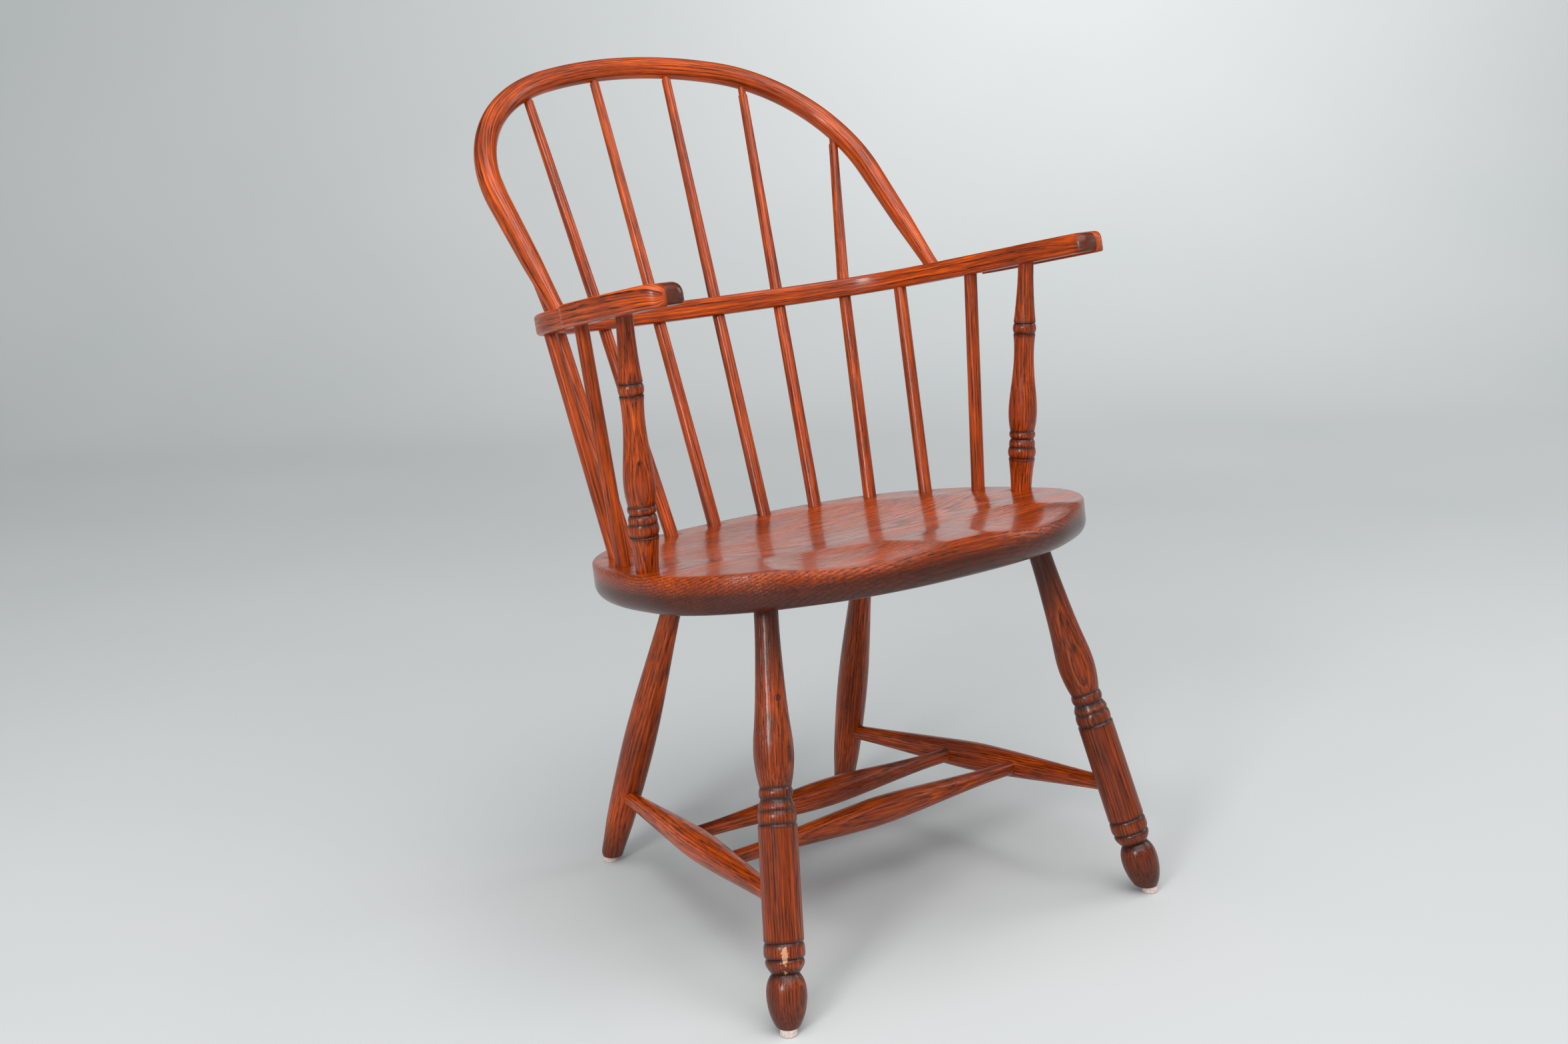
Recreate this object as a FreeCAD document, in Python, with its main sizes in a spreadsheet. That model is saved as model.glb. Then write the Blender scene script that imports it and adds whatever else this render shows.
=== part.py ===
# Sack-back windsor armchair in stained hardwood.
# Frame: +Z up, the sitter faces -Y, the sitter's left hand is +X, floor at z = 0.
# The origin is the middle of the chair's footprint on the floor. Sizes in millimetres.
import FreeCAD
import Part
import Sketcher
import math
import os
from FreeCAD import Placement, Rotation, Vector

# Fits
fit_gap = 0.15  # radial clearance of every round tenon in its socket
face_gap = 0.1  # glue line between the arm rail and a hand block
pin_gap = 0.05  # radial clearance of pins and nails

# Seat. "Level" is the height of its top face at the origin
seat_level = 411.51
seat_pitch_angle = 8.26  # backward slope, degrees
seat_thickness = 41.0
seat_front = 303.5  # front edge, forward of the origin
seat_back = 134.5  # back edge, behind the origin
seat_half_width = 275.5
seat_wide_place = 113.5  # where the seat is widest, forward of the origin
seat_under_round = 17.0  # rounding of the lower edge
seat_top_round = 4.0  # rounding of the upper edge
dish_depth = 9.0  # broad dish
dish_half_width = 212.0
dish_half_depth = 158.0
dish_place = 65.5  # middle of the dish, forward of the origin
thigh_depth = 8.0  # hollow under each thigh, at the front edge
thigh_half_width = 88.0
thigh_half_depth = 165.0
thigh_offset = 116.0  # thigh hollow beside the middle

# Front legs: foot on the floor, and run of the axis per unit of height
front_foot_in = 24.9  # foot inside the seat's widest place
front_foot_ahead = 312.15
front_splay_ratio = 0.1742
front_rake_ratio = 0.2824
leg_socket_depth = 20.0  # leg in the seat, along the leg
ball_radius = 20.2  # ball foot
ball_length = 59.1  # floor to the neck above the ball
ball_neck_radius = 14.0
low_ring_radius = 19.6
low_ring_length = 14.8
low_groove_depth = 1.4
mid_ring_radius = 20.6
mid_ring_length = 15.6
shaft_groove_depth = 1.8
shaft_low_radius = 20.1
shaft_high_radius = 19.7
shaft_length = 115.3
shaft_end_step = 1.8  # short cone at both ends of the shaft
high_groove_depth = 1.3
collar_radius = 19.5
collar_length = 13.2
collar_groove_radius = 17.8
upper_ring_radius = 18.5
upper_ring_length = 11.0
neck_radius = 15.6
bead_radius = 17.2
bead_length = 11.0
vase_base_radius = 15.7
vase_radius = 20.2
vase_low_length = 32.0  # base of the vase to its widest place
vase_high_length = 80.0  # widest place to the waist
vase_waist_radius = 14.2
front_top_radius = 12.3  # front leg in the seat

# Rear legs
rear_foot_in = 100.6
rear_foot_behind = 154.6
rear_splay_ratio = 0.1192
rear_rake_ratio = 0.3154
rear_foot_radius = 13.1
rear_foot_round = 14.0  # soft lower end, along the leg
rear_low_radius = 15.6
rear_low_length = 158.0  # floor to the widest place
rear_swell_radius = 18.7
rear_high_length = 114.0  # widest place to the slimmer upper part
rear_high_radius = 14.6
rear_top_radius = 11.3  # rear leg in the seat

# Foot glides
glide_radius = 8.7
glide_height = 8.0
glide_edge = 1.5
nail_radius = 1.1
nail_length = 14.0  # above the glide
nail_seat = 2.0  # inside the glide

# Stretchers
side_front_height = 122.0  # at the front leg's axis
side_rear_height = 88.0  # at the rear leg's axis
side_end_radius = 8.8
side_mid_radius = 16.8
side_short = 3.0  # end of a side stretcher before a leg's axis
side_lead = 22.0  # straight tenon of a side stretcher
medial_rear_ratio = 0.43  # place along the side stretcher, from the rear
medial_front_ratio = 0.665
medial_end_radius = 8.0
medial_mid_radius = 15.8
medial_lead = 18.0
medial_socket = 12.0  # cross stretcher in a side stretcher

# Arm rail, in its own plane. "Level" is the height of its lower face over the origin
rail_level = 665.48
rail_pitch_angle = 11.89  # backward slope, degrees
rail_height = 22.0
rail_width = 24.0
rail_round = 4.0
rail_back = 203.8  # middle of the back, behind the origin
rail_half_width = 264.0  # arm beside the middle
rail_back_radius = 545.0
rail_corner_radius = 150.0
rail_side_radius = 1300.0
rail_straight_start = 95.4  # where the arm runs straight, forward of the origin
hand_end = 200.9  # end of the arm, forward of the origin
hand_round = 12.0  # inner front corner of the arm
block_width = 22.0  # hand block glued on the outside of the arm
block_length = 189.0
block_front_round = 9.0
block_tail_round = 24.0
block_drop = 1.5  # a hand block reaches lower than the arm

# Arm posts
post_foot_in = 21.5  # foot of a post inside the seat's widest place
post_foot_ahead = 98.0
post_top_ahead = 96.2
post_seat_depth = 24.0
post_rail_depth = 16.0
post_foot_radius = 11.7
post_base_radius = 15.1
post_base_length = 38.0  # seat to the groove under the lower ring
post_low_groove_depth = 0.9
post_low_ring_radius = 15.9
post_low_ring_length = 13.0
post_mid_groove_radius = 14.5
post_small_ring_radius = 14.9
post_small_ring_length = 9.5
post_neck_radius = 12.7
post_bead_radius = 14.9
post_bead_length = 8.5
post_vase_base_radius = 13.7
post_vase_radius = 16.1
post_vase_low_length = 28.0
post_vase_high_length = 58.0
post_waist_radius = 11.3
post_cup_radius = 12.5
post_cup_length = 26.5
post_cup_groove_depth = 0.9
post_up_ring_radius = 13.2
post_up_ring_length = 12.0
post_up_groove_radius = 11.5
post_flare_radius = 12.5
post_flare_length = 26.0
post_top_radius = 8.7
pin_radius = 1.5  # pin through the arm and the post's tenon
pin_length = 15.0

# Bow, in its own plane, which leans back from upright
bow_end_behind = 57.25  # end of the bow on the rail, behind the origin
bow_end_in = 1.8  # end of the bow inside the rail's centre line
bow_lean_angle = 47.0
bow_rise = 346.9
bow_top_radius = 461.9
bow_corner_radius = 181.0
bow_radius = 12.6
bow_side_radius = 11.0
bow_side_ratio = 0.45  # place of the side radius along the straight end
bow_end_radius = 8.3
bow_end_run = 8.0  # even end above the rail
bow_tenon = 14.0

# Spindles: feet from the seat's edges, places along the rail, heads on the bow
inner_foot_out = 35.4
inner_foot_in = 24.4
inner_rail_out = 41.8
inner_head_out = 50.2
middle_foot_out = 101.6
middle_foot_in = 36.0
middle_rail_out = 123.2
middle_head_out = 149.0
outer_foot_in_side = 104.2  # inside the seat's widest place
outer_foot_in = 54.1
outer_rail_in = 64.6  # inside the arm
outer_head_in = 15.05  # inside the bow's side
rear_short_foot_in = 59.5
rear_short_foot_behind = 29.1
rear_short_head_in = 3.0  # inside the rail's centre line
rear_short_head_behind = 99.5
front_short_foot_in = 31.1
front_short_foot_ahead = 34.0
front_short_head_ahead = 5.1
spindle_foot_radius = 8.0
spindle_rail_radius = 7.2
spindle_head_radius = 5.4
spindle_tip_radius = 4.4
short_head_radius = 7.5
spindle_seat_depth = 18.0
spindle_bow_depth = 8.0
spindle_rail_depth = 13.0  # short spindle in the rail
spindle_spring = 70.0  # bend of a long spindle inside the rail
spindle_lead = 3.0  # even run above and below the rail
spindle_behind = 3.0  # long spindles pass behind the rail's centre line
tip_step = 0.6
bare_tip_long = 9.0  # bare tenon under the bow where the shoulder stands off
bare_tip_short = 2.0

# Every size above becomes a row of the sheet
size = {word: value for word, value in dict(globals()).items() if type(value) is float}
doc = FreeCAD.newDocument("windsor_chair")
sheet = doc.addObject("Spreadsheet::Sheet", "Sizes")


def write_row(row, alias, value):
    sheet.set("A%d" % row, alias)
    sheet.set("B%d" % row, repr(value))
    sheet.setAlias("B%d" % row, alias)


def worked_out(alias, value):
    """Keep a length that follows from the sizes as a row of the sheet too."""
    size[alias] = value
    write_row(len(size), alias, value)
    sheet.recompute()


for order, word in enumerate(size):
    write_row(order + 1, word, size[word])
doc.recompute()


def unit(v):
    return Vector(v).multiply(1.0 / v.Length)


def tangent(degrees):
    return math.tan(math.radians(degrees))


def origin_plane(body, role):
    for item in body.Origin.OriginFeatures:
        if item.Role == role:
            return item
    raise RuntimeError("no plane " + role)


def new_sketch(body, name, role):
    sketch = body.newObject("Sketcher::SketchObject", name)
    sketch.AttachmentSupport = [(origin_plane(body, role), "")]
    sketch.MapMode = "FlatFace"
    return sketch


def arc_through(p, q, r):
    """Arc through three points, always built counter-clockwise as a sketch wants it."""
    turn = (q - p).cross(r - q).z
    return Part.Arc(p, q, r) if turn > 0 else Part.Arc(r, q, p)


def bind(sketch, constraint, expression):
    index = sketch.addConstraint(constraint)
    sketch.setExpression("Constraints[%d]" % index, expression)


def tie_point(sketch, geo, pos, point, expr_x, expr_y):
    """Hold a sketch point at named distances from the sketch's origin."""
    if abs(point.x) < 1e-9:
        sketch.addConstraint(Sketcher.Constraint("PointOnObject", geo, pos, -2))
    else:
        bind(sketch, Sketcher.Constraint("DistanceX", -1, 1, geo, pos, point.x), expr_x)
    if abs(point.y) < 1e-9:
        sketch.addConstraint(Sketcher.Constraint("PointOnObject", geo, pos, -1))
    else:
        bind(sketch, Sketcher.Constraint("DistanceY", -1, 1, geo, pos, point.y), expr_y)


def value_of(expression):
    """A profile number is a sum of named sizes, some with a share in front: 0.5 * name."""
    total = 0.0
    sign = 1.0
    share = 1.0
    for word in expression.split():
        if word in ("+", "-"):
            sign = 1.0 if word == "+" else -1.0
        elif word in size:
            total += sign * share * size[word]
            share = 1.0
        elif word != "*":
            share = float(word)
    return total


def sheet_expression(expression):
    words = []
    for word in expression.split():
        words.append("Sizes." + word if word in size else word)
    return " ".join(words)


def turned(name, spans, base, top):
    """A turned piece: half profile revolved about its axis.
    Each span is (kind, [(radius, height), ...]) and ends where the next one starts.
    The axis runs from base towards top, and the profile's height 0 is at base."""
    body = doc.addObject("PartDesign::Body", name + "_body")
    sketch = new_sketch(body, name + "_profile", "XZ_Plane")
    first = spans[0][1][0]
    knots = [first] + [span[1][-1] for span in spans]
    geo = []
    here = Vector(value_of(first[0]), value_of(first[1]), 0)
    geo.append(sketch.addGeometry(Part.LineSegment(Vector(0, here.y, 0), here)))
    for kind, points in spans:
        run = [Vector(value_of(r), value_of(t), 0) for r, t in points]
        if kind == "line":
            curve = Part.LineSegment(run[0], run[-1])
        elif kind == "arc":
            curve = arc_through(run[0], run[1], run[2])
        else:
            curve = Part.BSplineCurve()
            curve.interpolate(run)
        geo.append(sketch.addGeometry(curve))
    end = Vector(value_of(knots[-1][0]), value_of(knots[-1][1]), 0)
    geo.append(sketch.addGeometry(Part.LineSegment(end, Vector(0, end.y, 0))))
    geo.append(sketch.addGeometry(Part.LineSegment(Vector(0, end.y, 0), Vector(0, here.y, 0))))
    ends = []
    for index in geo:
        curve = sketch.Geometry[index]
        ends.append((curve.StartPoint, curve.EndPoint))
    for i in range(len(knots)):
        knot = Vector(value_of(knots[i][0]), value_of(knots[i][1]), 0)
        upper = i + 1
        low_pos = 1 if ends[i][0].distanceToPoint(knot) < 1e-6 else 2
        up_pos = 1 if ends[upper][0].distanceToPoint(knot) < 1e-6 else 2
        sketch.addConstraint(
            Sketcher.Constraint("Coincident", geo[i], low_pos, geo[upper], up_pos))
        tie_point(sketch, geo[upper], up_pos, knot,
                  sheet_expression(knots[i][0]), sheet_expression(knots[i][1]))
    last = geo[-1]
    sketch.addConstraint(Sketcher.Constraint("Coincident", last - 1, 2, last, 1))
    sketch.addConstraint(Sketcher.Constraint("Coincident", last, 2, geo[0], 1))
    sketch.addConstraint(Sketcher.Constraint("Horizontal", geo[0]))
    sketch.addConstraint(Sketcher.Constraint("Horizontal", last - 1))
    sketch.addConstraint(Sketcher.Constraint("PointOnObject", geo[0], 1, -2))
    sketch.addConstraint(Sketcher.Constraint("PointOnObject", last, 1, -2))
    turn = body.newObject("PartDesign::Revolution", name + "_turning")
    turn.Profile = sketch
    turn.ReferenceAxis = (sketch, ["V_Axis"])
    turn.Angle = 360.0
    body.Tip = turn
    body.Placement = Placement(base, Rotation(Vector(0, 0, 1), unit(top - base)))
    return body


def bar(name, base, direction, radius, length):
    """A round cutter or pin from base along direction; radius is a sheet expression."""
    rod = doc.addObject("Part::Cylinder", name)
    rod.Radius = value_of(radius)
    rod.Height = length
    rod.setExpression("Radius", sheet_expression(radius))
    rod.Placement = Placement(base, Rotation(Vector(0, 0, 1), unit(direction)))
    return rod


def elbow(name, start, way, centre, radius, angle):
    """A round bar bent about centre: it starts at start, pointing along way."""
    out = start - centre
    ring = doc.addObject("Part::Torus", name)
    ring.Radius1 = out.Length
    ring.Radius2 = value_of(radius)
    ring.setExpression("Radius2", sheet_expression(radius))
    ring.Angle3 = angle
    ring.Placement = Placement(centre, Rotation(unit(out), way, unit(out.cross(way)), "XYZ"))
    return ring


def cut(name, base, tools):
    """Cut every tool from base and give the result the node's name."""
    group = doc.addObject("Part::Compound", name + "_tools")
    group.Links = tools
    result = doc.addObject("Part::Cut", name)
    result.Base = base
    result.Tool = group
    result.Refine = False
    result.Label = name
    return result


nodes = []

# Planes of the seat, the rail and the bow
seat_turn = Rotation(Vector(1, 0, 0), -seat_pitch_angle)
rail_turn = Rotation(Vector(1, 0, 0), -rail_pitch_angle)
bow_turn = Rotation(Vector(1, 0, 0), 90.0 - bow_lean_angle)
seat_slope = tangent(seat_pitch_angle)
rail_slope = tangent(rail_pitch_angle)
seat_normal = seat_turn.multVec(Vector(0, 0, 1))
rail_normal = rail_turn.multVec(Vector(0, 0, 1))
seat_stretch = 1.0 / math.cos(math.radians(seat_pitch_angle))
rail_stretch = 1.0 / math.cos(math.radians(rail_pitch_angle))


def on_seat(x, y):
    return Vector(x, y, seat_level - seat_slope * y)


def under_rail(x, y):
    return Vector(x, y, rail_level - rail_slope * y)


def over_rail(x, y):
    return under_rail(x, y) + Vector(0, 0, rail_height * rail_stretch)


rail_place = Placement(under_rail(0, 0) + rail_normal * (rail_height / 2.0), rail_turn)
seat_place = Placement(on_seat(0, 0), seat_turn)
bow_place = Placement(over_rail(0, bow_end_behind), bow_turn)
bow_up = bow_turn.multVec(Vector(0, 1, 0))


def blend_centre(c1, r1, c2, r2, prefer):
    """Centre of the arc whose distances from two centres are r1 and r2."""
    span = c2 - c1
    d = span.Length
    a = (d * d + r1 * r1 - r2 * r2) / (2.0 * d)
    h = math.sqrt(r1 * r1 - a * a)
    mid = c1 + span * (a / d)
    side = Vector(-span.y / d, span.x / d, 0) * h
    one = mid + side
    two = mid - side
    return one if (one - prefer).Length < (two - prefer).Length else two


# Centre line of the arm rail in its own plane, half of it
rail_back_centre = Vector(0, rail_back - rail_back_radius, 0)
rail_side_centre = Vector(rail_half_width - rail_side_radius, -rail_straight_start, 0)
rail_corner_centre = blend_centre(
    rail_back_centre, rail_back_radius - rail_corner_radius,
    rail_side_centre, rail_side_radius - rail_corner_radius,
    Vector(rail_half_width, rail_back, 0))
rail_back_out = unit(rail_corner_centre - rail_back_centre)
rail_back_turn = rail_back_centre + rail_back_out * rail_back_radius
rail_side_out = unit(rail_corner_centre - rail_side_centre)
rail_side_turn = rail_side_centre + rail_side_out * rail_side_radius


def rail_x(along):
    """Half width of the rail's centre line at a place along its plane."""
    if along <= -rail_straight_start:
        return rail_half_width
    if along <= rail_side_turn.y:
        drop = along - rail_side_centre.y
        return rail_side_centre.x + math.sqrt(rail_side_radius ** 2 - drop ** 2)
    drop = along - rail_corner_centre.y
    return rail_corner_centre.x + math.sqrt(rail_corner_radius ** 2 - drop ** 2)


def rail_knee(x):
    """Where a long spindle passes the rail at a distance beside the middle."""
    if x <= rail_back_turn.x:
        v = rail_back_centre.y + math.sqrt(rail_back_radius ** 2 - x ** 2)
    else:
        v = rail_corner_centre.y + math.sqrt(
            rail_corner_radius ** 2 - (x - rail_corner_centre.x) ** 2)
    return rail_place.multVec(Vector(x, v + spindle_behind, 0))


def rail_x_at(y):
    return rail_x(y * rail_stretch)


# Centre line of the bow in its own plane, half of it: its ends stand on the rail
worked_out("bow_half_width", rail_x_at(bow_end_behind) - bow_end_in)
bow_half_width = size["bow_half_width"]
bow_top_centre = Vector(0, bow_rise - bow_top_radius, 0)
bow_corner_x = bow_half_width - bow_corner_radius
bow_reach = bow_top_radius - bow_corner_radius
bow_corner_centre = Vector(
    bow_corner_x, bow_top_centre.y + math.sqrt(bow_reach ** 2 - bow_corner_x ** 2), 0)
bow_out = unit(bow_corner_centre - bow_top_centre)
bow_turn_point = bow_top_centre + bow_out * bow_top_radius


def bow_point(x):
    """Place on the bow's centre line at a distance beside the middle."""
    if x <= bow_turn_point.x:
        v = bow_top_centre.y + math.sqrt(bow_top_radius ** 2 - x ** 2)
    else:
        v = bow_corner_centre.y + math.sqrt(bow_corner_radius ** 2 - (x - bow_corner_x) ** 2)
    return bow_place.multVec(Vector(x, v, 0))


# Axes of the legs
front_foot = Vector(seat_half_width - front_foot_in, -front_foot_ahead, 0)
front_run = Vector(-front_splay_ratio, front_rake_ratio, 1.0)
rear_foot = Vector(seat_half_width - rear_foot_in, rear_foot_behind, 0)
rear_run = Vector(-rear_splay_ratio, -rear_rake_ratio, 1.0)


def seat_entry(foot, run):
    """Length along a leg from the floor to the end of its socket in the seat."""
    low = on_seat(0, 0) - seat_normal * seat_thickness
    rise = (low - foot).dot(seat_normal) / run.dot(seat_normal)
    return rise * run.Length + leg_socket_depth


worked_out("front_length", seat_entry(front_foot, front_run))
worked_out("rear_length", seat_entry(rear_foot, rear_run))

# Heights of a front leg's grooves and necks, each from the one below
neck_at = "ball_length"
low_groove_at = neck_at + " + low_ring_length"
shaft_at = low_groove_at + " + mid_ring_length"
collar_at = shaft_at + " + shaft_length"
upper_at = collar_at + " + collar_length"
bead_at = upper_at + " + upper_ring_length"
vase_at = bead_at + " + bead_length"
widest_at = vase_at + " + vase_low_length"
waist_at = widest_at + " + vase_high_length"
front_spans = [
    ("curve", [("0.34 * ball_radius", "0.034 * ball_length"),
               ("0.565 * ball_radius", "0.124 * ball_length"),
               ("0.795 * ball_radius", "0.273 * ball_length"),
               ("0.915 * ball_radius", "0.41 * ball_length"),
               ("ball_radius", "0.66 * ball_length"),
               ("0.95 * ball_radius", "0.826 * ball_length"),
               ("ball_neck_radius", neck_at)]),
    ("curve", [("ball_neck_radius", neck_at),
               ("0.88 * low_ring_radius", neck_at + " + 0.32 * low_ring_length"),
               ("low_ring_radius", neck_at + " + 0.73 * low_ring_length"),
               ("low_ring_radius - low_groove_depth", low_groove_at)]),
    ("curve", [("low_ring_radius - low_groove_depth", low_groove_at),
               ("0.976 * mid_ring_radius", low_groove_at + " + 0.13 * mid_ring_length"),
               ("mid_ring_radius", low_groove_at + " + 0.45 * mid_ring_length"),
               ("0.971 * mid_ring_radius", low_groove_at + " + 0.83 * mid_ring_length"),
               ("mid_ring_radius - shaft_groove_depth", shaft_at)]),
    ("line", [("mid_ring_radius - shaft_groove_depth", shaft_at),
              ("shaft_low_radius", shaft_at + " + shaft_end_step")]),
    ("line", [("shaft_low_radius", shaft_at + " + shaft_end_step"),
              ("shaft_high_radius", collar_at + " - shaft_end_step")]),
    ("line", [("shaft_high_radius", collar_at + " - shaft_end_step"),
              ("shaft_high_radius - high_groove_depth", collar_at)]),
    ("arc", [("shaft_high_radius - high_groove_depth", collar_at),
             ("collar_radius", collar_at + " + 0.5 * collar_length"),
             ("collar_groove_radius", upper_at)]),
    ("curve", [("collar_groove_radius", upper_at),
               ("upper_ring_radius", upper_at + " + 0.27 * upper_ring_length"),
               ("0.935 * upper_ring_radius", upper_at + " + 0.6 * upper_ring_length"),
               ("neck_radius", bead_at)]),
    ("arc", [("neck_radius", bead_at),
             ("bead_radius", bead_at + " + 0.54 * bead_length"),
             ("vase_base_radius", vase_at)]),
    ("curve", [("vase_base_radius", vase_at),
               ("0.92 * vase_radius", vase_at + " + 0.44 * vase_low_length"),
               ("vase_radius", widest_at),
               ("0.87 * vase_radius", widest_at + " + 0.425 * vase_high_length"),
               ("vase_waist_radius", waist_at),
               ("front_top_radius", waist_at + " + 0.62 * vase_high_length")]),
    ("line", [("front_top_radius", waist_at + " + 0.62 * vase_high_length"),
              ("front_top_radius", "front_length")]),
]
slim_at = "rear_low_length + rear_high_length"
rear_spans = [
    ("curve", [("0.62 * rear_foot_radius", "0.25 * rear_foot_round"),
               ("0.91 * rear_foot_radius", "0.64 * rear_foot_round"),
               ("rear_foot_radius", "rear_foot_round + 0.02 * rear_low_length"),
               ("rear_low_radius", "0.32 * rear_low_length"),
               ("0.94 * rear_swell_radius", "0.62 * rear_low_length"),
               ("rear_swell_radius", "rear_low_length"),
               ("0.915 * rear_swell_radius", "rear_low_length + 0.58 * rear_high_length"),
               ("rear_high_radius", slim_at),
               ("rear_top_radius", slim_at + " + 0.63 * rear_high_length")]),
    ("line", [("rear_top_radius", slim_at + " + 0.63 * rear_high_length"),
              ("rear_top_radius", "rear_length")]),
]


def leg(name, side, foot, run, spans, sockets):
    """A leg with a level foot, a socket for its stretcher and a hole for its glide's nail."""
    base = Vector(side * foot.x, foot.y, 0)
    body = turned(name, spans, base, base + Vector(side * run.x, run.y, run.z))
    room = 6.0 * ball_radius
    trim = doc.addObject("Part::Box", name + "_floor_trim")
    trim.Length = room
    trim.Width = room
    trim.setExpression("Height", "5 * Sizes.glide_height")
    trim.Placement = Placement(Vector(base.x - room / 2.0, base.y - room / 2.0, 0), Rotation())
    trim.setExpression("Placement.Base.z", "-4 * Sizes.glide_height")
    nail = bar(name + "_nail_hole", base, Vector(0, 0, 1), "nail_radius + pin_gap",
               glide_height + nail_length + 2.0 * nail_radius)
    return cut(name, body, [trim, nail] + sockets)


# Stretchers: axes from leg to leg
side_rear = rear_foot + rear_run * side_rear_height
side_front = front_foot + front_run * side_front_height
worked_out("side_length", (side_front - side_rear).Length - 2.0 * side_short)
side_spans = [
    ("line", [("side_end_radius", "0"), ("side_end_radius", "side_lead")]),
    ("curve", [("side_end_radius", "side_lead"),
               ("0.37 * side_end_radius + 0.545 * side_mid_radius", "0.25 * side_length"),
               ("0.915 * side_mid_radius", "0.4 * side_length"),
               ("side_mid_radius", "0.5 * side_length"),
               ("0.95 * side_mid_radius", "0.6 * side_length"),
               ("0.4 * side_end_radius + 0.57 * side_mid_radius", "0.745 * side_length"),
               ("side_end_radius", "side_length - side_lead")]),
    ("line", [("side_end_radius", "side_length - side_lead"),
              ("side_end_radius", "side_length")]),
]
medial_points = []
for place, share in (("rear", medial_rear_ratio), ("front", medial_front_ratio)):
    medial_points.append((place, side_rear + (side_front - side_rear) * share))
for side, hand in ((1, "left"), (-1, "right")):
    rear_axis = Vector(side * side_rear.x, side_rear.y, side_rear.z)
    front_axis = Vector(side * side_front.x, side_front.y, side_front.z)
    way = unit(front_axis - rear_axis)
    holes = {}
    for place, start, back in (("rear", rear_axis, way), ("front", front_axis, way * -1.0)):
        holes[place] = bar("%s_%s_leg_socket" % (hand, place),
                           start + back * (side_short - fit_gap), back,
                           "side_end_radius + fit_gap", 1.8 * ball_radius)
    nodes.append(leg("front_leg_" + hand, side, front_foot, front_run, front_spans,
                     [holes["front"]]))
    nodes.append(leg("rear_leg_" + hand, side, rear_foot, rear_run, rear_spans,
                     [holes["rear"]]))
    body = turned("side_stretcher_" + hand, side_spans, rear_axis + way * side_short, front_axis)
    tools = []
    inward = Vector(-side, 0, 0)
    for place, point in medial_points:
        centre = Vector(side * point.x, point.y, point.z)
        end_in = side_mid_radius - medial_socket - fit_gap
        tools.append(bar("%s_%s_medial_socket" % (hand, place), centre + inward * end_in, inward,
                         "medial_end_radius + fit_gap", 2.0 * side_mid_radius))
    nodes.append(cut("side_stretcher_" + hand, body, tools))

for place, point in medial_points:
    tip = point.x - (side_mid_radius - medial_socket)
    total = "medial_%s_length" % place
    worked_out(total, 2.0 * tip)
    spans = [
        ("line", [("medial_end_radius", "0"), ("medial_end_radius", "medial_lead")]),
        ("curve", [("medial_end_radius", "medial_lead"),
                   ("0.66 * medial_end_radius + 0.29 * medial_mid_radius", "0.2 * " + total),
                   ("0.89 * medial_mid_radius", "0.375 * " + total),
                   ("medial_mid_radius", "0.5 * " + total),
                   ("0.89 * medial_mid_radius", "0.625 * " + total),
                   ("0.66 * medial_end_radius + 0.29 * medial_mid_radius", "0.8 * " + total),
                   ("medial_end_radius", total + " - medial_lead")]),
        ("line", [("medial_end_radius", total + " - medial_lead"),
                  ("medial_end_radius", total)]),
    ]
    body = turned("medial_stretcher_" + place, spans,
                  Vector(-tip, point.y, point.z), Vector(tip, point.y, point.z))
    body.Label = "medial_stretcher_" + place
    nodes.append(body)

# Foot glides and their nails
nails = []
for word, foot in (("front", front_foot), ("rear", rear_foot)):
    for side, hand in ((1, "left"), (-1, "right")):
        at = Vector(side * foot.x, foot.y, 0)
        disc = doc.addObject("Part::Cylinder", "glide_disc_%s_%s" % (word, hand))
        disc.setExpression("Radius", "Sizes.glide_radius")
        disc.setExpression("Height", "Sizes.glide_height")
        disc.Placement = Placement(at, Rotation())
        doc.recompute()
        soft = doc.addObject("Part::Fillet", "glide_soft_%s_%s" % (word, hand))
        soft.Base = disc
        low = [i + 1 for i, e in enumerate(disc.Shape.Edges)
               if e.BoundBox.ZMax < 0.01 and len(e.Vertexes) < 2]
        soft.Edges = [(i, glide_edge, glide_edge) for i in low]
        seat_of_nail = at + Vector(0, 0, glide_height - nail_seat)
        hole = bar("glide_hole_%s_%s" % (word, hand), seat_of_nail, Vector(0, 0, 1),
                   "nail_radius + pin_gap", glide_height)
        nodes.append(cut("glide_%s_%s" % (word, hand), soft, [hole]))
        nails.append(bar("nail_%s_%s" % (word, hand), seat_of_nail, Vector(0, 0, 1),
                         "nail_radius", nail_length + nail_seat))
group = doc.addObject("Part::Compound", "glide_nails")
group.Links = nails
group.Label = "glide_nails"
nodes.append(group)

# Spindles
seat_tools = []
rail_tools = []
bow_tools = []


def seat_hole(name, base, way):
    seat_tools.append(bar(name + "_seat_socket", base - way * fit_gap, way,
                          "spindle_foot_radius + fit_gap", 1.5 * seat_thickness))


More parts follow.
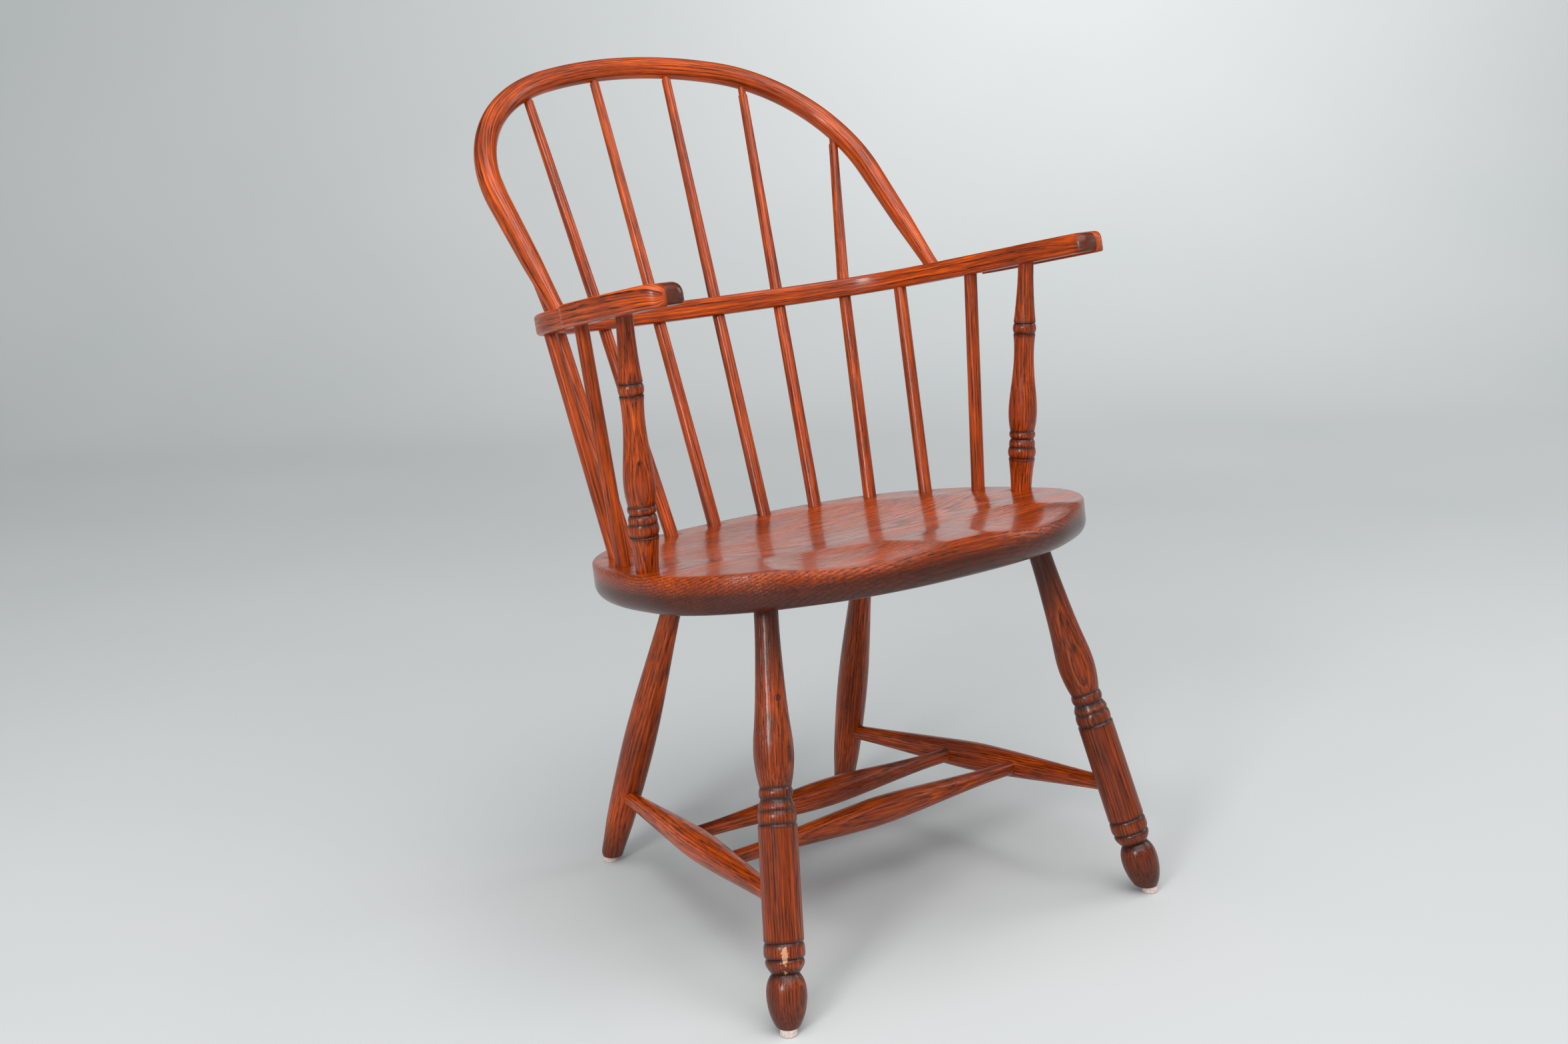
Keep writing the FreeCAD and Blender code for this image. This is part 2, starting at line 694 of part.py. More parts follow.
def long_spindle(name, foot, knee, head, bare):
    """From the seat through the rail to the bow, sprung a few degrees inside the rail."""
    way = unit(knee - foot)
    onward = unit(head - knee)
    turn = math.acos(way.dot(onward))
    reach = spindle_spring * math.tan(turn / 2.0)
    start = knee - way * reach
    after = knee + onward * reach
    centre = knee + unit(onward - way) * (spindle_spring / math.cos(turn / 2.0))
    base = foot - way * spindle_seat_depth
    end = head - onward * (bow_radius - spindle_bow_depth)
    half_rail = rail_height / 2.0
    even_low = half_rail / way.dot(rail_normal) + spindle_lead
    even_high = half_rail / onward.dot(rail_normal) + spindle_lead
    worked_out(name + "_lower", (start - base).Length)
    worked_out(name + "_lower_even", (knee - base).Length - even_low)
    worked_out(name + "_upper", (end - after).Length)
    worked_out(name + "_upper_even", even_high - reach)
    lower = turned(name + "_low", [
        ("line", [("spindle_foot_radius", "0"), ("spindle_foot_radius", "spindle_seat_depth")]),
        ("line", [("spindle_foot_radius", "spindle_seat_depth"),
                  ("spindle_rail_radius", name + "_lower_even")]),
        ("line", [("spindle_rail_radius", name + "_lower_even"),
                  ("spindle_rail_radius", name + "_lower")]),
    ], base, knee)
    shoulder = name + "_upper - spindle_bow_depth - " + bare
    upper = turned(name + "_high", [
        ("line", [("spindle_rail_radius", "0"), ("spindle_rail_radius", name + "_upper_even")]),
        ("line", [("spindle_rail_radius", name + "_upper_even"),
                  ("spindle_head_radius", shoulder)]),
        ("line", [("spindle_head_radius", shoulder),
                  ("spindle_tip_radius", shoulder + " + tip_step")]),
        ("line", [("spindle_tip_radius", shoulder + " + tip_step"),
                  ("spindle_tip_radius", name + "_upper")]),
    ], after, head)
    degrees = math.degrees(turn)
    bent = elbow(name + "_knee", start, way, centre, "spindle_rail_radius", degrees)
    whole = doc.addObject("Part::MultiFuse", name)
    whole.Shapes = [lower, bent, upper]
    whole.Refine = False
    whole.Label = name
    nodes.append(whole)
    seat_hole(name, base, way)
    hole = "spindle_rail_radius + fit_gap"
    rail_tools.append(bar(name + "_hole_low", start, way * -1.0, hole, 2.0 * rail_height))
    rail_tools.append(elbow(name + "_hole_knee", start, way, centre, hole, degrees))
    rail_tools.append(bar(name + "_hole_high", after, onward, hole, 2.0 * rail_height))
    bow_tools.append(bar(name + "_bow_socket", end + onward * fit_gap, onward * -1.0,
                         "spindle_tip_radius + fit_gap", 2.0 * bow_radius))
    print(name, "bend", round(degrees, 1))


def short_spindle(name, foot, head):
    """From the seat into the lower face of the rail."""
    way = unit(head - foot)
    base = foot - way * spindle_seat_depth
    end = head + way * spindle_rail_depth
    total = name + "_length"
    worked_out(total, (end - base).Length)
    body = turned(name, [
        ("line", [("spindle_foot_radius", "0"), ("spindle_foot_radius", "spindle_seat_depth")]),
        ("line", [("spindle_foot_radius", "spindle_seat_depth"),
                  ("short_head_radius", total + " - spindle_rail_depth - spindle_lead")]),
        ("line", [("short_head_radius", total + " - spindle_rail_depth - spindle_lead"),
                  ("short_head_radius", total)]),
    ], base, head)
    body.Label = name
    nodes.append(body)
    seat_hole(name, base, way)
    rail_tools.append(bar(name + "_rail_socket", end + way * fit_gap, way * -1.0,
                          "short_head_radius + fit_gap", 2.0 * rail_height))


for side, hand in ((1, "left"), (-1, "right")):
    for word, foot_out, foot_in, rail_out, head_out in (
            ("inner", inner_foot_out, inner_foot_in, inner_rail_out, inner_head_out),
            ("middle", middle_foot_out, middle_foot_in, middle_rail_out, middle_head_out),
            ("outer", seat_half_width - outer_foot_in_side, outer_foot_in,
             rail_half_width - outer_rail_in, bow_half_width - outer_head_in)):
        foot = on_seat(side * foot_out, seat_back - foot_in)
        knee = rail_knee(rail_out)
        head = bow_point(head_out)
        bare = "bare_tip_long" if hand == "left" and word != "inner" else "bare_tip_short"
        long_spindle("spindle_%s_%s" % (word, hand), foot,
                     Vector(side * knee.x, knee.y, knee.z),
                     Vector(side * head.x, head.y, head.z), bare)
    for word, foot_in, foot_y, head_in, head_y in (
            ("rear_short", rear_short_foot_in, rear_short_foot_behind,
             rear_short_head_in, rear_short_head_behind),
            ("front_short", front_short_foot_in, -front_short_foot_ahead,
             0.0, -front_short_head_ahead)):
        foot = on_seat(side * (seat_half_width - foot_in), foot_y)
        head = under_rail(side * (rail_x_at(head_y) - head_in), head_y)
        short_spindle("spindle_%s_%s" % (word, hand), foot, head)

# Arm posts and the pins that lock them
post_foot_out = seat_half_width - post_foot_in
post_head_out = rail_x_at(-post_top_ahead)
worked_out("post_rise", (under_rail(post_head_out, -post_top_ahead)
                         - on_seat(post_foot_out, -post_foot_ahead)).Length)
low_at = "post_seat_depth + post_base_length"
small_at = low_at + " + post_low_ring_length"
bead_at = small_at + " + post_small_ring_length"
vase_at = bead_at + " + post_bead_length"
widest_at = vase_at + " + post_vase_low_length"
waist_at = widest_at + " + post_vase_high_length"
cup_at = waist_at + " + post_cup_length"
flare_at = cup_at + " + post_up_ring_length"
post_spans = [
    ("line", [("post_foot_radius", "0"), ("post_foot_radius", "post_seat_depth")]),
    ("curve", [("post_foot_radius", "post_seat_depth"),
               ("0.64 * post_foot_radius + 0.36 * post_base_radius",
                "post_seat_depth + 0.5 * post_base_length"),
               ("post_base_radius", low_at + " - post_low_groove_depth")]),
    ("line", [("post_base_radius", low_at + " - post_low_groove_depth"),
              ("post_base_radius - post_low_groove_depth", low_at)]),
    ("arc", [("post_base_radius - post_low_groove_depth", low_at),
             ("post_low_ring_radius", low_at + " + 0.5 * post_low_ring_length"),
             ("post_mid_groove_radius", small_at)]),
    ("curve", [("post_mid_groove_radius", small_at),
               ("post_small_ring_radius", small_at + " + 0.25 * post_small_ring_length"),
               ("post_neck_radius", bead_at)]),
    ("arc", [("post_neck_radius", bead_at),
             ("post_bead_radius", bead_at + " + 0.58 * post_bead_length"),
             ("post_vase_base_radius", vase_at)]),
    ("curve", [("post_vase_base_radius", vase_at),
               ("post_vase_radius", widest_at),
               ("0.835 * post_vase_radius", widest_at + " + 0.48 * post_vase_high_length"),
               ("post_waist_radius", waist_at),
               ("post_cup_radius", cup_at + " - post_cup_groove_depth")]),
    ("line", [("post_cup_radius", cup_at + " - post_cup_groove_depth"),
              ("post_cup_radius - post_cup_groove_depth", cup_at)]),
    ("arc", [("post_cup_radius - post_cup_groove_depth", cup_at),
             ("post_up_ring_radius", cup_at + " + 0.5 * post_up_ring_length"),
             ("post_up_groove_radius", flare_at)]),
    ("line", [("post_up_groove_radius", flare_at),
              ("post_flare_radius", flare_at + " + post_cup_groove_depth")]),
    ("curve", [("post_flare_radius", flare_at + " + post_cup_groove_depth"),
               ("0.45 * post_top_radius + 0.5 * post_flare_radius",
                flare_at + " + post_flare_length"),
               ("post_top_radius", "post_seat_depth + post_rise - spindle_lead")]),
    ("line", [("post_top_radius", "post_seat_depth + post_rise - spindle_lead"),
              ("post_top_radius", "post_seat_depth + post_rise + post_rail_depth")]),
]
pins = []
for side, hand in ((1, "left"), (-1, "right")):
    foot = on_seat(side * post_foot_out, -post_foot_ahead)
    head = under_rail(side * post_head_out, -post_top_ahead)
    way = unit(head - foot)
    base = foot - way * post_seat_depth
    body = turned("arm_post_" + hand, post_spans, base, head)
    middle = head + way * (rail_height / 2.0)
    inner = Vector(side * (post_head_out - rail_width / 2.0), middle.y, middle.z)
    across = Vector(side, 0, 0)
    nodes.append(cut("arm_post_" + hand, body, [
        bar("arm_post_pin_hole_" + hand, inner - across * fit_gap, across,
            "pin_radius + pin_gap", pin_length + 2.0 * fit_gap)]))
    pins.append(bar("arm_pin_" + hand, inner + across * fit_gap, across, "pin_radius",
                    pin_length - fit_gap))
    rail_tools.append(bar("arm_rail_pin_hole_" + hand, inner - across * pin_radius, across,
                          "pin_radius + pin_gap", pin_length + pin_radius + fit_gap))
    rail_tools.append(bar("arm_post_rail_socket_" + hand,
                          head + way * (post_rail_depth + fit_gap), way * -1.0,
                          "post_top_radius + fit_gap", 2.0 * rail_height))
    seat_tools.append(bar("arm_post_seat_socket_" + hand, base - way * fit_gap, way,
                          "post_foot_radius + fit_gap", 1.5 * seat_thickness))
group = doc.addObject("Part::Compound", "arm_pins")
group.Links = pins
group.Label = "arm_pins"
nodes.append(group)

# Bow: a bent stick with tapered ends
body = doc.addObject("PartDesign::Body", "bow_body")
path = new_sketch(body, "bow_path", "XY_Plane")
corner_angle = math.atan2(bow_out.y, bow_out.x)
top_arc = path.addGeometry(Part.ArcOfCircle(
    Part.Circle(bow_top_centre, Vector(0, 0, 1), bow_top_radius), corner_angle, math.pi / 2.0))
corner_arc = path.addGeometry(Part.ArcOfCircle(
    Part.Circle(bow_corner_centre, Vector(0, 0, 1), bow_corner_radius), 0.0, corner_angle))
path.addConstraint(Sketcher.Constraint("PointOnObject", top_arc, 3, -2))
path.addConstraint(Sketcher.Constraint("PointOnObject", top_arc, 2, -2))
path.addConstraint(Sketcher.Constraint("Tangent", top_arc, 1, corner_arc, 2))
bind(path, Sketcher.Constraint("Radius", top_arc, bow_top_radius), "Sizes.bow_top_radius")
bind(path, Sketcher.Constraint("Radius", corner_arc, bow_corner_radius),
     "Sizes.bow_corner_radius")
bind(path, Sketcher.Constraint("DistanceY", -1, 1, top_arc, 2, bow_rise), "Sizes.bow_rise")
bind(path, Sketcher.Constraint("DistanceX", -1, 1, corner_arc, 1, bow_half_width),
     "Sizes.bow_half_width")
path.addConstraint(Sketcher.Constraint("Horizontal", corner_arc, 1, corner_arc, 3))
section = new_sketch(body, "bow_section", "YZ_Plane")
ring = section.addGeometry(Part.Circle(Vector(bow_rise, 0, 0), Vector(0, 0, 1), bow_radius))
section.addConstraint(Sketcher.Constraint("PointOnObject", ring, 3, -1))
bind(section, Sketcher.Constraint("DistanceX", -1, 1, ring, 3, bow_rise), "Sizes.bow_rise")
bind(section, Sketcher.Constraint("Radius", ring, bow_radius), "Sizes.bow_radius")
doc.recompute()
bend = body.newObject("PartDesign::AdditivePipe", "bow_bend")
bend.Profile = section
bend.Spine = (path, ["Edge1", "Edge2"])
body.Tip = bend
doc.recompute()
worked_out("bow_straight", bow_corner_centre.y)
taper_spans = [
    ("0 * bow_radius", "bow_straight"), ("bow_radius", "bow_straight"),
    ("bow_side_radius", "%r * bow_straight" % bow_side_ratio),
    ("bow_end_radius", "bow_end_run"), ("bow_end_radius", "0 * bow_tenon - bow_tenon"),
    ("0 * bow_radius", "0 * bow_tenon - bow_tenon")]
taper = new_sketch(body, "bow_taper", "XY_Plane")
points = [Vector(bow_half_width + value_of(r), value_of(t), 0) for r, t in taper_spans]
lines = []
for a, b in zip(points, points[1:] + points[:1]):
    lines.append(taper.addGeometry(Part.LineSegment(a, b)))
for i in range(len(lines)):
    taper.addConstraint(
        Sketcher.Constraint("Coincident", lines[i], 2, lines[(i + 1) % len(lines)], 1))
    tie_point(taper, lines[i], 1, points[i],
              "Sizes.bow_half_width + " + sheet_expression(taper_spans[i][0]),
              sheet_expression(taper_spans[i][1]))
axis_line = taper.addGeometry(
    Part.LineSegment(Vector(bow_half_width, 0, 0), Vector(bow_half_width, bow_end_run, 0)), True)
taper.addConstraint(Sketcher.Constraint("Vertical", axis_line))
taper.addConstraint(Sketcher.Constraint("PointOnObject", axis_line, 1, lines[5]))
doc.recompute()
end_turn = body.newObject("PartDesign::Revolution", "bow_end")
end_turn.Profile = taper
end_turn.ReferenceAxis = (taper, ["Axis0"])
end_turn.Angle = 360.0
body.Tip = end_turn
doc.recompute()
both = body.newObject("PartDesign::Mirrored", "bow_both")
both.Originals = [bend, end_turn]
both.MirrorPlane = (origin_plane(body, "YZ_Plane"), [""])
body.Tip = both
body.Placement = bow_place
doc.recompute()
print("bow volume", round(both.Shape.Volume), "valid", both.Shape.isValid())
nodes.append(cut("bow", body, bow_tools))
for side, hand in ((1, "left"), (-1, "right")):
    end = bow_place.multVec(Vector(side * bow_half_width, -bow_tenon, 0))
    rail_tools.append(bar("bow_rail_socket_" + hand, end - bow_up * fit_gap, bow_up,
                          "bow_end_radius + fit_gap", 2.0 * rail_height))

# Arm rail: one bent stick, the inner corners of its hands rounded
body = doc.addObject("PartDesign::Body", "arm_rail_body")
path = new_sketch(body, "arm_rail_path", "XY_Plane")
a_back = math.atan2(rail_back_out.y, rail_back_out.x)
a_side = math.atan2(rail_side_out.y, rail_side_out.x)
arc_back = path.addGeometry(Part.ArcOfCircle(
    Part.Circle(rail_back_centre, Vector(0, 0, 1), rail_back_radius), a_back, math.pi / 2.0))
arc_corner = path.addGeometry(Part.ArcOfCircle(
    Part.Circle(rail_corner_centre, Vector(0, 0, 1), rail_corner_radius), a_side, a_back))
arc_side = path.addGeometry(Part.ArcOfCircle(
    Part.Circle(rail_side_centre, Vector(0, 0, 1), rail_side_radius), 0.0, a_side))
arm = path.addGeometry(Part.LineSegment(Vector(rail_half_width, -rail_straight_start, 0),
                                        Vector(rail_half_width, -hand_end, 0)))
path.addConstraint(Sketcher.Constraint("PointOnObject", arc_back, 3, -2))
path.addConstraint(Sketcher.Constraint("PointOnObject", arc_back, 2, -2))
path.addConstraint(Sketcher.Constraint("Tangent", arc_back, 1, arc_corner, 2))
path.addConstraint(Sketcher.Constraint("Tangent", arc_corner, 1, arc_side, 2))
path.addConstraint(Sketcher.Constraint("Tangent", arc_side, 1, arm, 1))
path.addConstraint(Sketcher.Constraint("Vertical", arm))
bind(path, Sketcher.Constraint("Radius", arc_back, rail_back_radius), "Sizes.rail_back_radius")
bind(path, Sketcher.Constraint("Radius", arc_corner, rail_corner_radius),
     "Sizes.rail_corner_radius")
bind(path, Sketcher.Constraint("Radius", arc_side, rail_side_radius), "Sizes.rail_side_radius")
bind(path, Sketcher.Constraint("DistanceY", -1, 1, arc_back, 2, rail_back), "Sizes.rail_back")
bind(path, Sketcher.Constraint("DistanceX", -1, 1, arm, 1, rail_half_width),
     "Sizes.rail_half_width")
bind(path, Sketcher.Constraint("DistanceY", arm, 1, -1, 1, rail_straight_start),
     "Sizes.rail_straight_start")
bind(path, Sketcher.Constraint("DistanceY", arm, 2, -1, 1, hand_end), "Sizes.hand_end")
section = new_sketch(body, "arm_rail_section", "YZ_Plane")
mid = rail_back
hx = rail_width / 2.0
hz = rail_height / 2.0
rr = rail_round
arcs = []
signs = [(-1, -1), (1, -1), (1, 1), (-1, 1)]
for (sx, sz), start in zip(signs, (math.pi, -math.pi / 2, 0.0, math.pi / 2)):
    centre = Vector(mid + sx * (hx - rr), sz * (hz - rr), 0)
    arcs.append(section.addGeometry(Part.ArcOfCircle(
        Part.Circle(centre, Vector(0, 0, 1), rr), start, start + math.pi / 2)))
corners = [((mid - hx + rr, -hz), (mid + hx - rr, -hz)), ((mid + hx, -hz + rr), (mid + hx, hz - rr)),
           ((mid + hx - rr, hz), (mid - hx + rr, hz)), ((mid - hx, hz - rr), (mid - hx, -hz + rr))]
sides = []
for a, b in corners:
    sides.append(section.addGeometry(Part.LineSegment(Vector(a[0], a[1], 0),
                                                      Vector(b[0], b[1], 0))))
for i in range(4):
    section.addConstraint(Sketcher.Constraint("Tangent", arcs[i], 2, sides[i], 1))
    section.addConstraint(Sketcher.Constraint("Tangent", sides[i], 2, arcs[(i + 1) % 4], 1))
section.addConstraint(Sketcher.Constraint("Horizontal", sides[0]))
section.addConstraint(Sketcher.Constraint("Vertical", sides[1]))
section.addConstraint(Sketcher.Constraint("Horizontal", sides[2]))
section.addConstraint(Sketcher.Constraint("Vertical", sides[3]))
section.addConstraint(Sketcher.Constraint("Equal", arcs[0], arcs[1]))
section.addConstraint(Sketcher.Constraint("Equal", arcs[0], arcs[2]))
bind(section, Sketcher.Constraint("Radius", arcs[0], rr), "Sizes.rail_round")
bind(section, Sketcher.Constraint("DistanceX", -1, 1, sides[1], 1, mid + hx),
     "Sizes.rail_back + Sizes.rail_width / 2")
bind(section, Sketcher.Constraint("DistanceX", -1, 1, sides[3], 1, mid - hx),
     "Sizes.rail_back - Sizes.rail_width / 2")
bind(section, Sketcher.Constraint("DistanceY", -1, 1, sides[2], 1, hz), "Sizes.rail_height / 2")
bind(section, Sketcher.Constraint("DistanceY", sides[0], 1, -1, 1, hz), "Sizes.rail_height / 2")
doc.recompute()
bend = body.newObject("PartDesign::AdditivePipe", "arm_rail_bend")
bend.Profile = section
bend.Spine = (path, ["Edge1", "Edge2", "Edge3", "Edge4"])
body.Tip = bend
doc.recompute()
both = body.newObject("PartDesign::Mirrored", "arm_rail_both")
both.Originals = [bend]
both.MirrorPlane = (origin_plane(body, "YZ_Plane"), [""])
body.Tip = both
doc.recompute()
print("rail volume", round(both.Shape.Volume), "valid", both.Shape.isValid())
body.Placement = rail_place


def ring_of(sketch, curves):
    """Add curves that follow one another and tie each end to the next curve's end."""
    for curve in curves:
        sketch.addGeometry(curve)
    for i in range(len(curves)):
        a = sketch.Geometry[i]
        b = sketch.Geometry[(i + 1) % len(curves)]
        best = None
        for pa, qa in ((1, a.StartPoint), (2, a.EndPoint)):
            for pb, qb in ((1, b.StartPoint), (2, b.EndPoint)):
                d = (qa - qb).Length
                if best is None or d < best[0]:
                    best = (d, pa, pb)
        sketch.addConstraint(
            Sketcher.Constraint("Coincident", i, best[1], (i + 1) % len(curves), best[2]))


diagonal = 1.0 - math.sqrt(0.5)
for side, hand in ((1, "left"), (-1, "right")):
    block = doc.addObject("PartDesign::Body", "hand_corner_%s_body" % hand)
    plan = new_sketch(block, "hand_corner_%s_plan" % hand, "XY_Plane")
    x = side * (rail_half_width - rail_width / 2.0)
    y = -hand_end
    soft = side * hand_round
    past = side * rail_round
    ring_of(plan, [
        Part.LineSegment(Vector(x + soft, y, 0), Vector(x + soft, y - rail_round, 0)),
        Part.LineSegment(Vector(x + soft, y - rail_round, 0), Vector(x - past, y - rail_round, 0)),
        Part.LineSegment(Vector(x - past, y - rail_round, 0), Vector(x - past, y + hand_round, 0)),
        Part.LineSegment(Vector(x - past, y + hand_round, 0), Vector(x, y + hand_round, 0)),
        arc_through(Vector(x, y + hand_round, 0),
                    Vector(x + soft * diagonal, y + hand_round * diagonal, 0),
                    Vector(x + soft, y, 0))])
    pad = block.newObject("PartDesign::Pad", "hand_corner_%s_pad" % hand)
    pad.Profile = plan
    pad.setExpression("Length", "2 * Sizes.rail_height")
    pad.SideType = "Symmetric"
    block.Tip = pad
    block.Placement = rail_place
    rail_tools.append(block)
doc.recompute()
nodes.append(cut("arm_rail", body, rail_tools))

# Hand blocks glued on the outside of the arms
for side, hand in ((1, "left"), (-1, "right")):
    body = doc.addObject("PartDesign::Body", "hand_block_%s_body" % hand)
    plan = new_sketch(body, "hand_block_%s_plan" % hand, "XY_Plane")
    gap = rail_width / 2.0 + face_gap
    inner_r = rail_side_radius + gap
    outer_r = inner_r + block_width
    rear_y = block_length - hand_end
    straight = -rail_straight_start
    soft = block_front_round
    cx = rail_side_centre.x
    cy = rail_side_centre.y
    x_in = side * (rail_half_width + gap)
    x_out = side * (rail_half_width + gap + block_width)
    front_y = -hand_end
    tail = block_tail_round
    reach = outer_r - tail
    end_angle = math.asin((rear_y - cy) / inner_r)
    lag = math.acos((inner_r ** 2 + reach ** 2 - tail ** 2) / (2.0 * inner_r * reach))
    tail_angle = end_angle - lag

    def spot(radius, angle):
        return Vector(side * (cx + radius * math.cos(angle)), cy + radius * math.sin(angle), 0)

    tail_centre = spot(reach, tail_angle)
    tail_end = spot(inner_r, end_angle)
    tail_start = spot(outer_r, tail_angle)
    tail_way = unit(unit(tail_end - tail_centre) + unit(tail_start - tail_centre))
    ring_of(plan, [
        Part.LineSegment(Vector(x_in, front_y, 0), Vector(x_in, straight, 0)),
        arc_through(Vector(x_in, straight, 0), spot(inner_r, end_angle / 2.0), tail_end),
        arc_through(tail_end, tail_centre + tail_way * tail, tail_start),
        arc_through(tail_start, spot(outer_r, tail_angle / 2.0), Vector(x_out, straight, 0)),
        Part.LineSegment(Vector(x_out, straight, 0), Vector(x_out, front_y + soft, 0)),
        arc_through(Vector(x_out, front_y + soft, 0),
                    Vector(x_out - side * soft * diagonal, front_y + soft * diagonal, 0),
                    Vector(x_out - side * soft, front_y, 0)),
        Part.LineSegment(Vector(x_out - side * soft, front_y, 0), Vector(x_in, front_y, 0))])
    pad = body.newObject("PartDesign::Pad", "hand_block_%s_pad" % hand)
    pad.Profile = plan
    pad.setExpression("Length", "Sizes.rail_height + Sizes.block_drop")
    pad.SideType = "Symmetric"
    body.Tip = pad
    doc.recompute()
    outer_edges = []
    for i, e in enumerate(pad.Shape.Edges):
        if e.BoundBox.ZLength > 0.01:
            continue
        spot_on = e.valueAt((e.FirstParameter + e.LastParameter) / 2.0)
        on_line = abs(spot_on.x) < abs(x_in) + rail_round / 8.0 and spot_on.y > front_y + rr / 4.0
        on_arc = spot_on.y > straight and abs(
            math.hypot(side * spot_on.x - cx, spot_on.y - cy) - inner_r) < rail_round / 8.0
        if not on_line and not on_arc:
            outer_edges.append("Edge%d" % (i + 1))
    ease = body.newObject("PartDesign::Fillet", "hand_block_%s_ease" % hand)
    ease.Base = (pad, outer_edges)
    ease.Radius = rail_round
    ease.setExpression("Radius", "Sizes.rail_round")
    body.Tip = ease
    body.Placement = Placement(rail_place.Base - rail_normal * (block_drop / 2.0), rail_turn)
    body.Label = "hand_block_" + hand
    nodes.append(body)

# Seat
body = doc.addObject("PartDesign::Body", "seat_body")
plan = new_sketch(body, "seat_plan", "XY_Plane")
ahead = seat_front - seat_wide_place
behind = seat_back + seat_wide_place
# half outline as shares of the half width and of the lengths before and behind the widest place
front_shares = [(0.985, 0.22), (0.94, 0.38), (0.88, 0.51), (0.814, 0.615), (0.742, 0.70),
                (0.66, 0.774), (0.545, 0.862), (0.40, 0.935), (0.215, 0.985), (0.0, 1.0)]
back_shares = [(0.986, 0.245), (0.949, 0.425), (0.893, 0.575), (0.803, 0.725), (0.68, 0.851),
               (0.525, 0.93), (0.363, 0.972), (0.18, 0.994)]
half = [(1.0, -seat_wide_place)]
for u, v in front_shares:
    half.append((u, -seat_wide_place - ahead * v))
rear_half = [(u, -seat_wide_place + behind * v) for u, v in back_shares]
around = half + [(-u, y) for u, y in reversed(half[:-1])]
around += [(-u, y) for u, y in rear_half] + [(0.0, seat_back)] + list(reversed(rear_half))
outline = Part.BSplineCurve()
outline.interpolate([Vector(u * seat_half_width, y * seat_stretch, 0) for u, y in around], True)
plan.addGeometry(outline)
pad = body.newObject("PartDesign::Pad", "seat_plank")
pad.Profile = plan
pad.setExpression("Length", "Sizes.seat_thickness")
pad.Reversed = True
body.Tip = pad
doc.recompute()
rims = {}
for i, e in enumerate(pad.Shape.Edges):
    if e.BoundBox.ZLength < 0.01:
        rims["low" if e.BoundBox.ZMin < -1.0 else "top"] = "Edge%d" % (i + 1)
under = body.newObject("PartDesign::Fillet", "seat_under_edge")
under.Base = (pad, [rims["low"]])
under.Radius = seat_under_round
under.setExpression("Radius", "Sizes.seat_under_round")
body.Tip = under
doc.recompute()
top_rim = ["Edge%d" % (i + 1) for i, e in enumerate(under.Shape.Edges)
           if e.BoundBox.ZMin > -0.01]
over = body.newObject("PartDesign::Fillet", "seat_top_edge")
over.Base = (under, top_rim)
over.Radius = seat_top_round
over.setExpression("Radius", "Sizes.seat_top_round")
body.Tip = over
doc.recompute()
print("seat plank volume", round(over.Shape.Volume))
body.Placement = seat_place


def hollow(name, role, offset, centres, half_chord, half_sweep, deep):
    """Groove a shallow hollow: an arc section of one bend swept round an axis of another."""
    bend = half_chord ** 2 / (2.0 * deep)
    sweep = half_sweep ** 2 / (2.0 * deep)
    lid = deep / 3.0
    chord = math.sqrt(bend ** 2 - (bend - deep - lid) ** 2)
    sketch = new_sketch(body, name + "_section", role)
    sketch.AttachmentOffset = Placement(Vector(0, 0, offset), Rotation())
    for at in centres:
        low = sketch.GeometryCount
        sketch.addGeometry(arc_through(Vector(at - chord, lid, 0), Vector(at, -deep, 0),
                                       Vector(at + chord, lid, 0)))
        sketch.addGeometry(Part.LineSegment(Vector(at + chord, lid, 0), Vector(at - chord, lid, 0)))
        sketch.addConstraint(Sketcher.Constraint("Block", low))
        sketch.addConstraint(Sketcher.Constraint("Coincident", low, 2, low + 1, 1))
        sketch.addConstraint(Sketcher.Constraint("Coincident", low + 1, 2, low, 1))
    axle = sketch.addGeometry(Part.LineSegment(Vector(-chord, sweep - deep, 0),
                                               Vector(chord, sweep - deep, 0)), True)
    sketch.addConstraint(Sketcher.Constraint("Block", axle))
    doc.recompute()
    groove = body.newObject("PartDesign::Groove", name)
    groove.Profile = sketch
    groove.ReferenceAxis = (sketch, ["Axis0"])
    groove.Angle = 2.88 * math.degrees(math.asin(half_sweep / sweep))
    groove.Midplane = True
    groove.Refine = False
    body.Tip = groove
    doc.recompute()
    print(name, "volume left", round(groove.Shape.Volume), "valid", groove.Shape.isValid())


hollow("seat_dish", "YZ_Plane", 0.0, [-dish_place], dish_half_depth, dish_half_width, dish_depth)
hollow("seat_thighs", "XZ_Plane", 1.033 * seat_front, [-thigh_offset, thigh_offset],
       thigh_half_width, thigh_half_depth, thigh_depth)
for side, hand in ((1, "left"), (-1, "right")):
    for word, foot, run, length in (("front", front_foot, front_run, size["front_length"]),
                                    ("rear", rear_foot, rear_run, size["rear_length"])):
        base = Vector(side * foot.x, foot.y, 0)
        way = unit(Vector(side * run.x, run.y, run.z))
        tip = base + way * (length + fit_gap)
        seat_tools.append(bar("seat_socket_%s_%s" % (word, hand), tip, way * -1.0,
                              "%s_top_radius + fit_gap" % word, 1.5 * seat_thickness))
nodes.append(cut("seat", body, seat_tools))
doc.recompute()

# Checks, then one file for each node
wrong = [item.Name for item in doc.Objects if "Invalid" in item.State or "Error" in item.State]
if wrong:
    raise RuntimeError("failed objects: " + ", ".join(wrong))
os.makedirs("parts", exist_ok=True)
for node in nodes:
    shape = node.Shape
    if shape.isNull() or not shape.isValid() or not shape.Solids:
        raise RuntimeError("bad shape: " + node.Label)
    shape.exportStep("parts/%s.step" % node.Label)
    print("%-28s solids %d volume %9.0f mm3" % (node.Label, len(shape.Solids), shape.Volume))
print("nodes", len(nodes), "sizes", len(size))
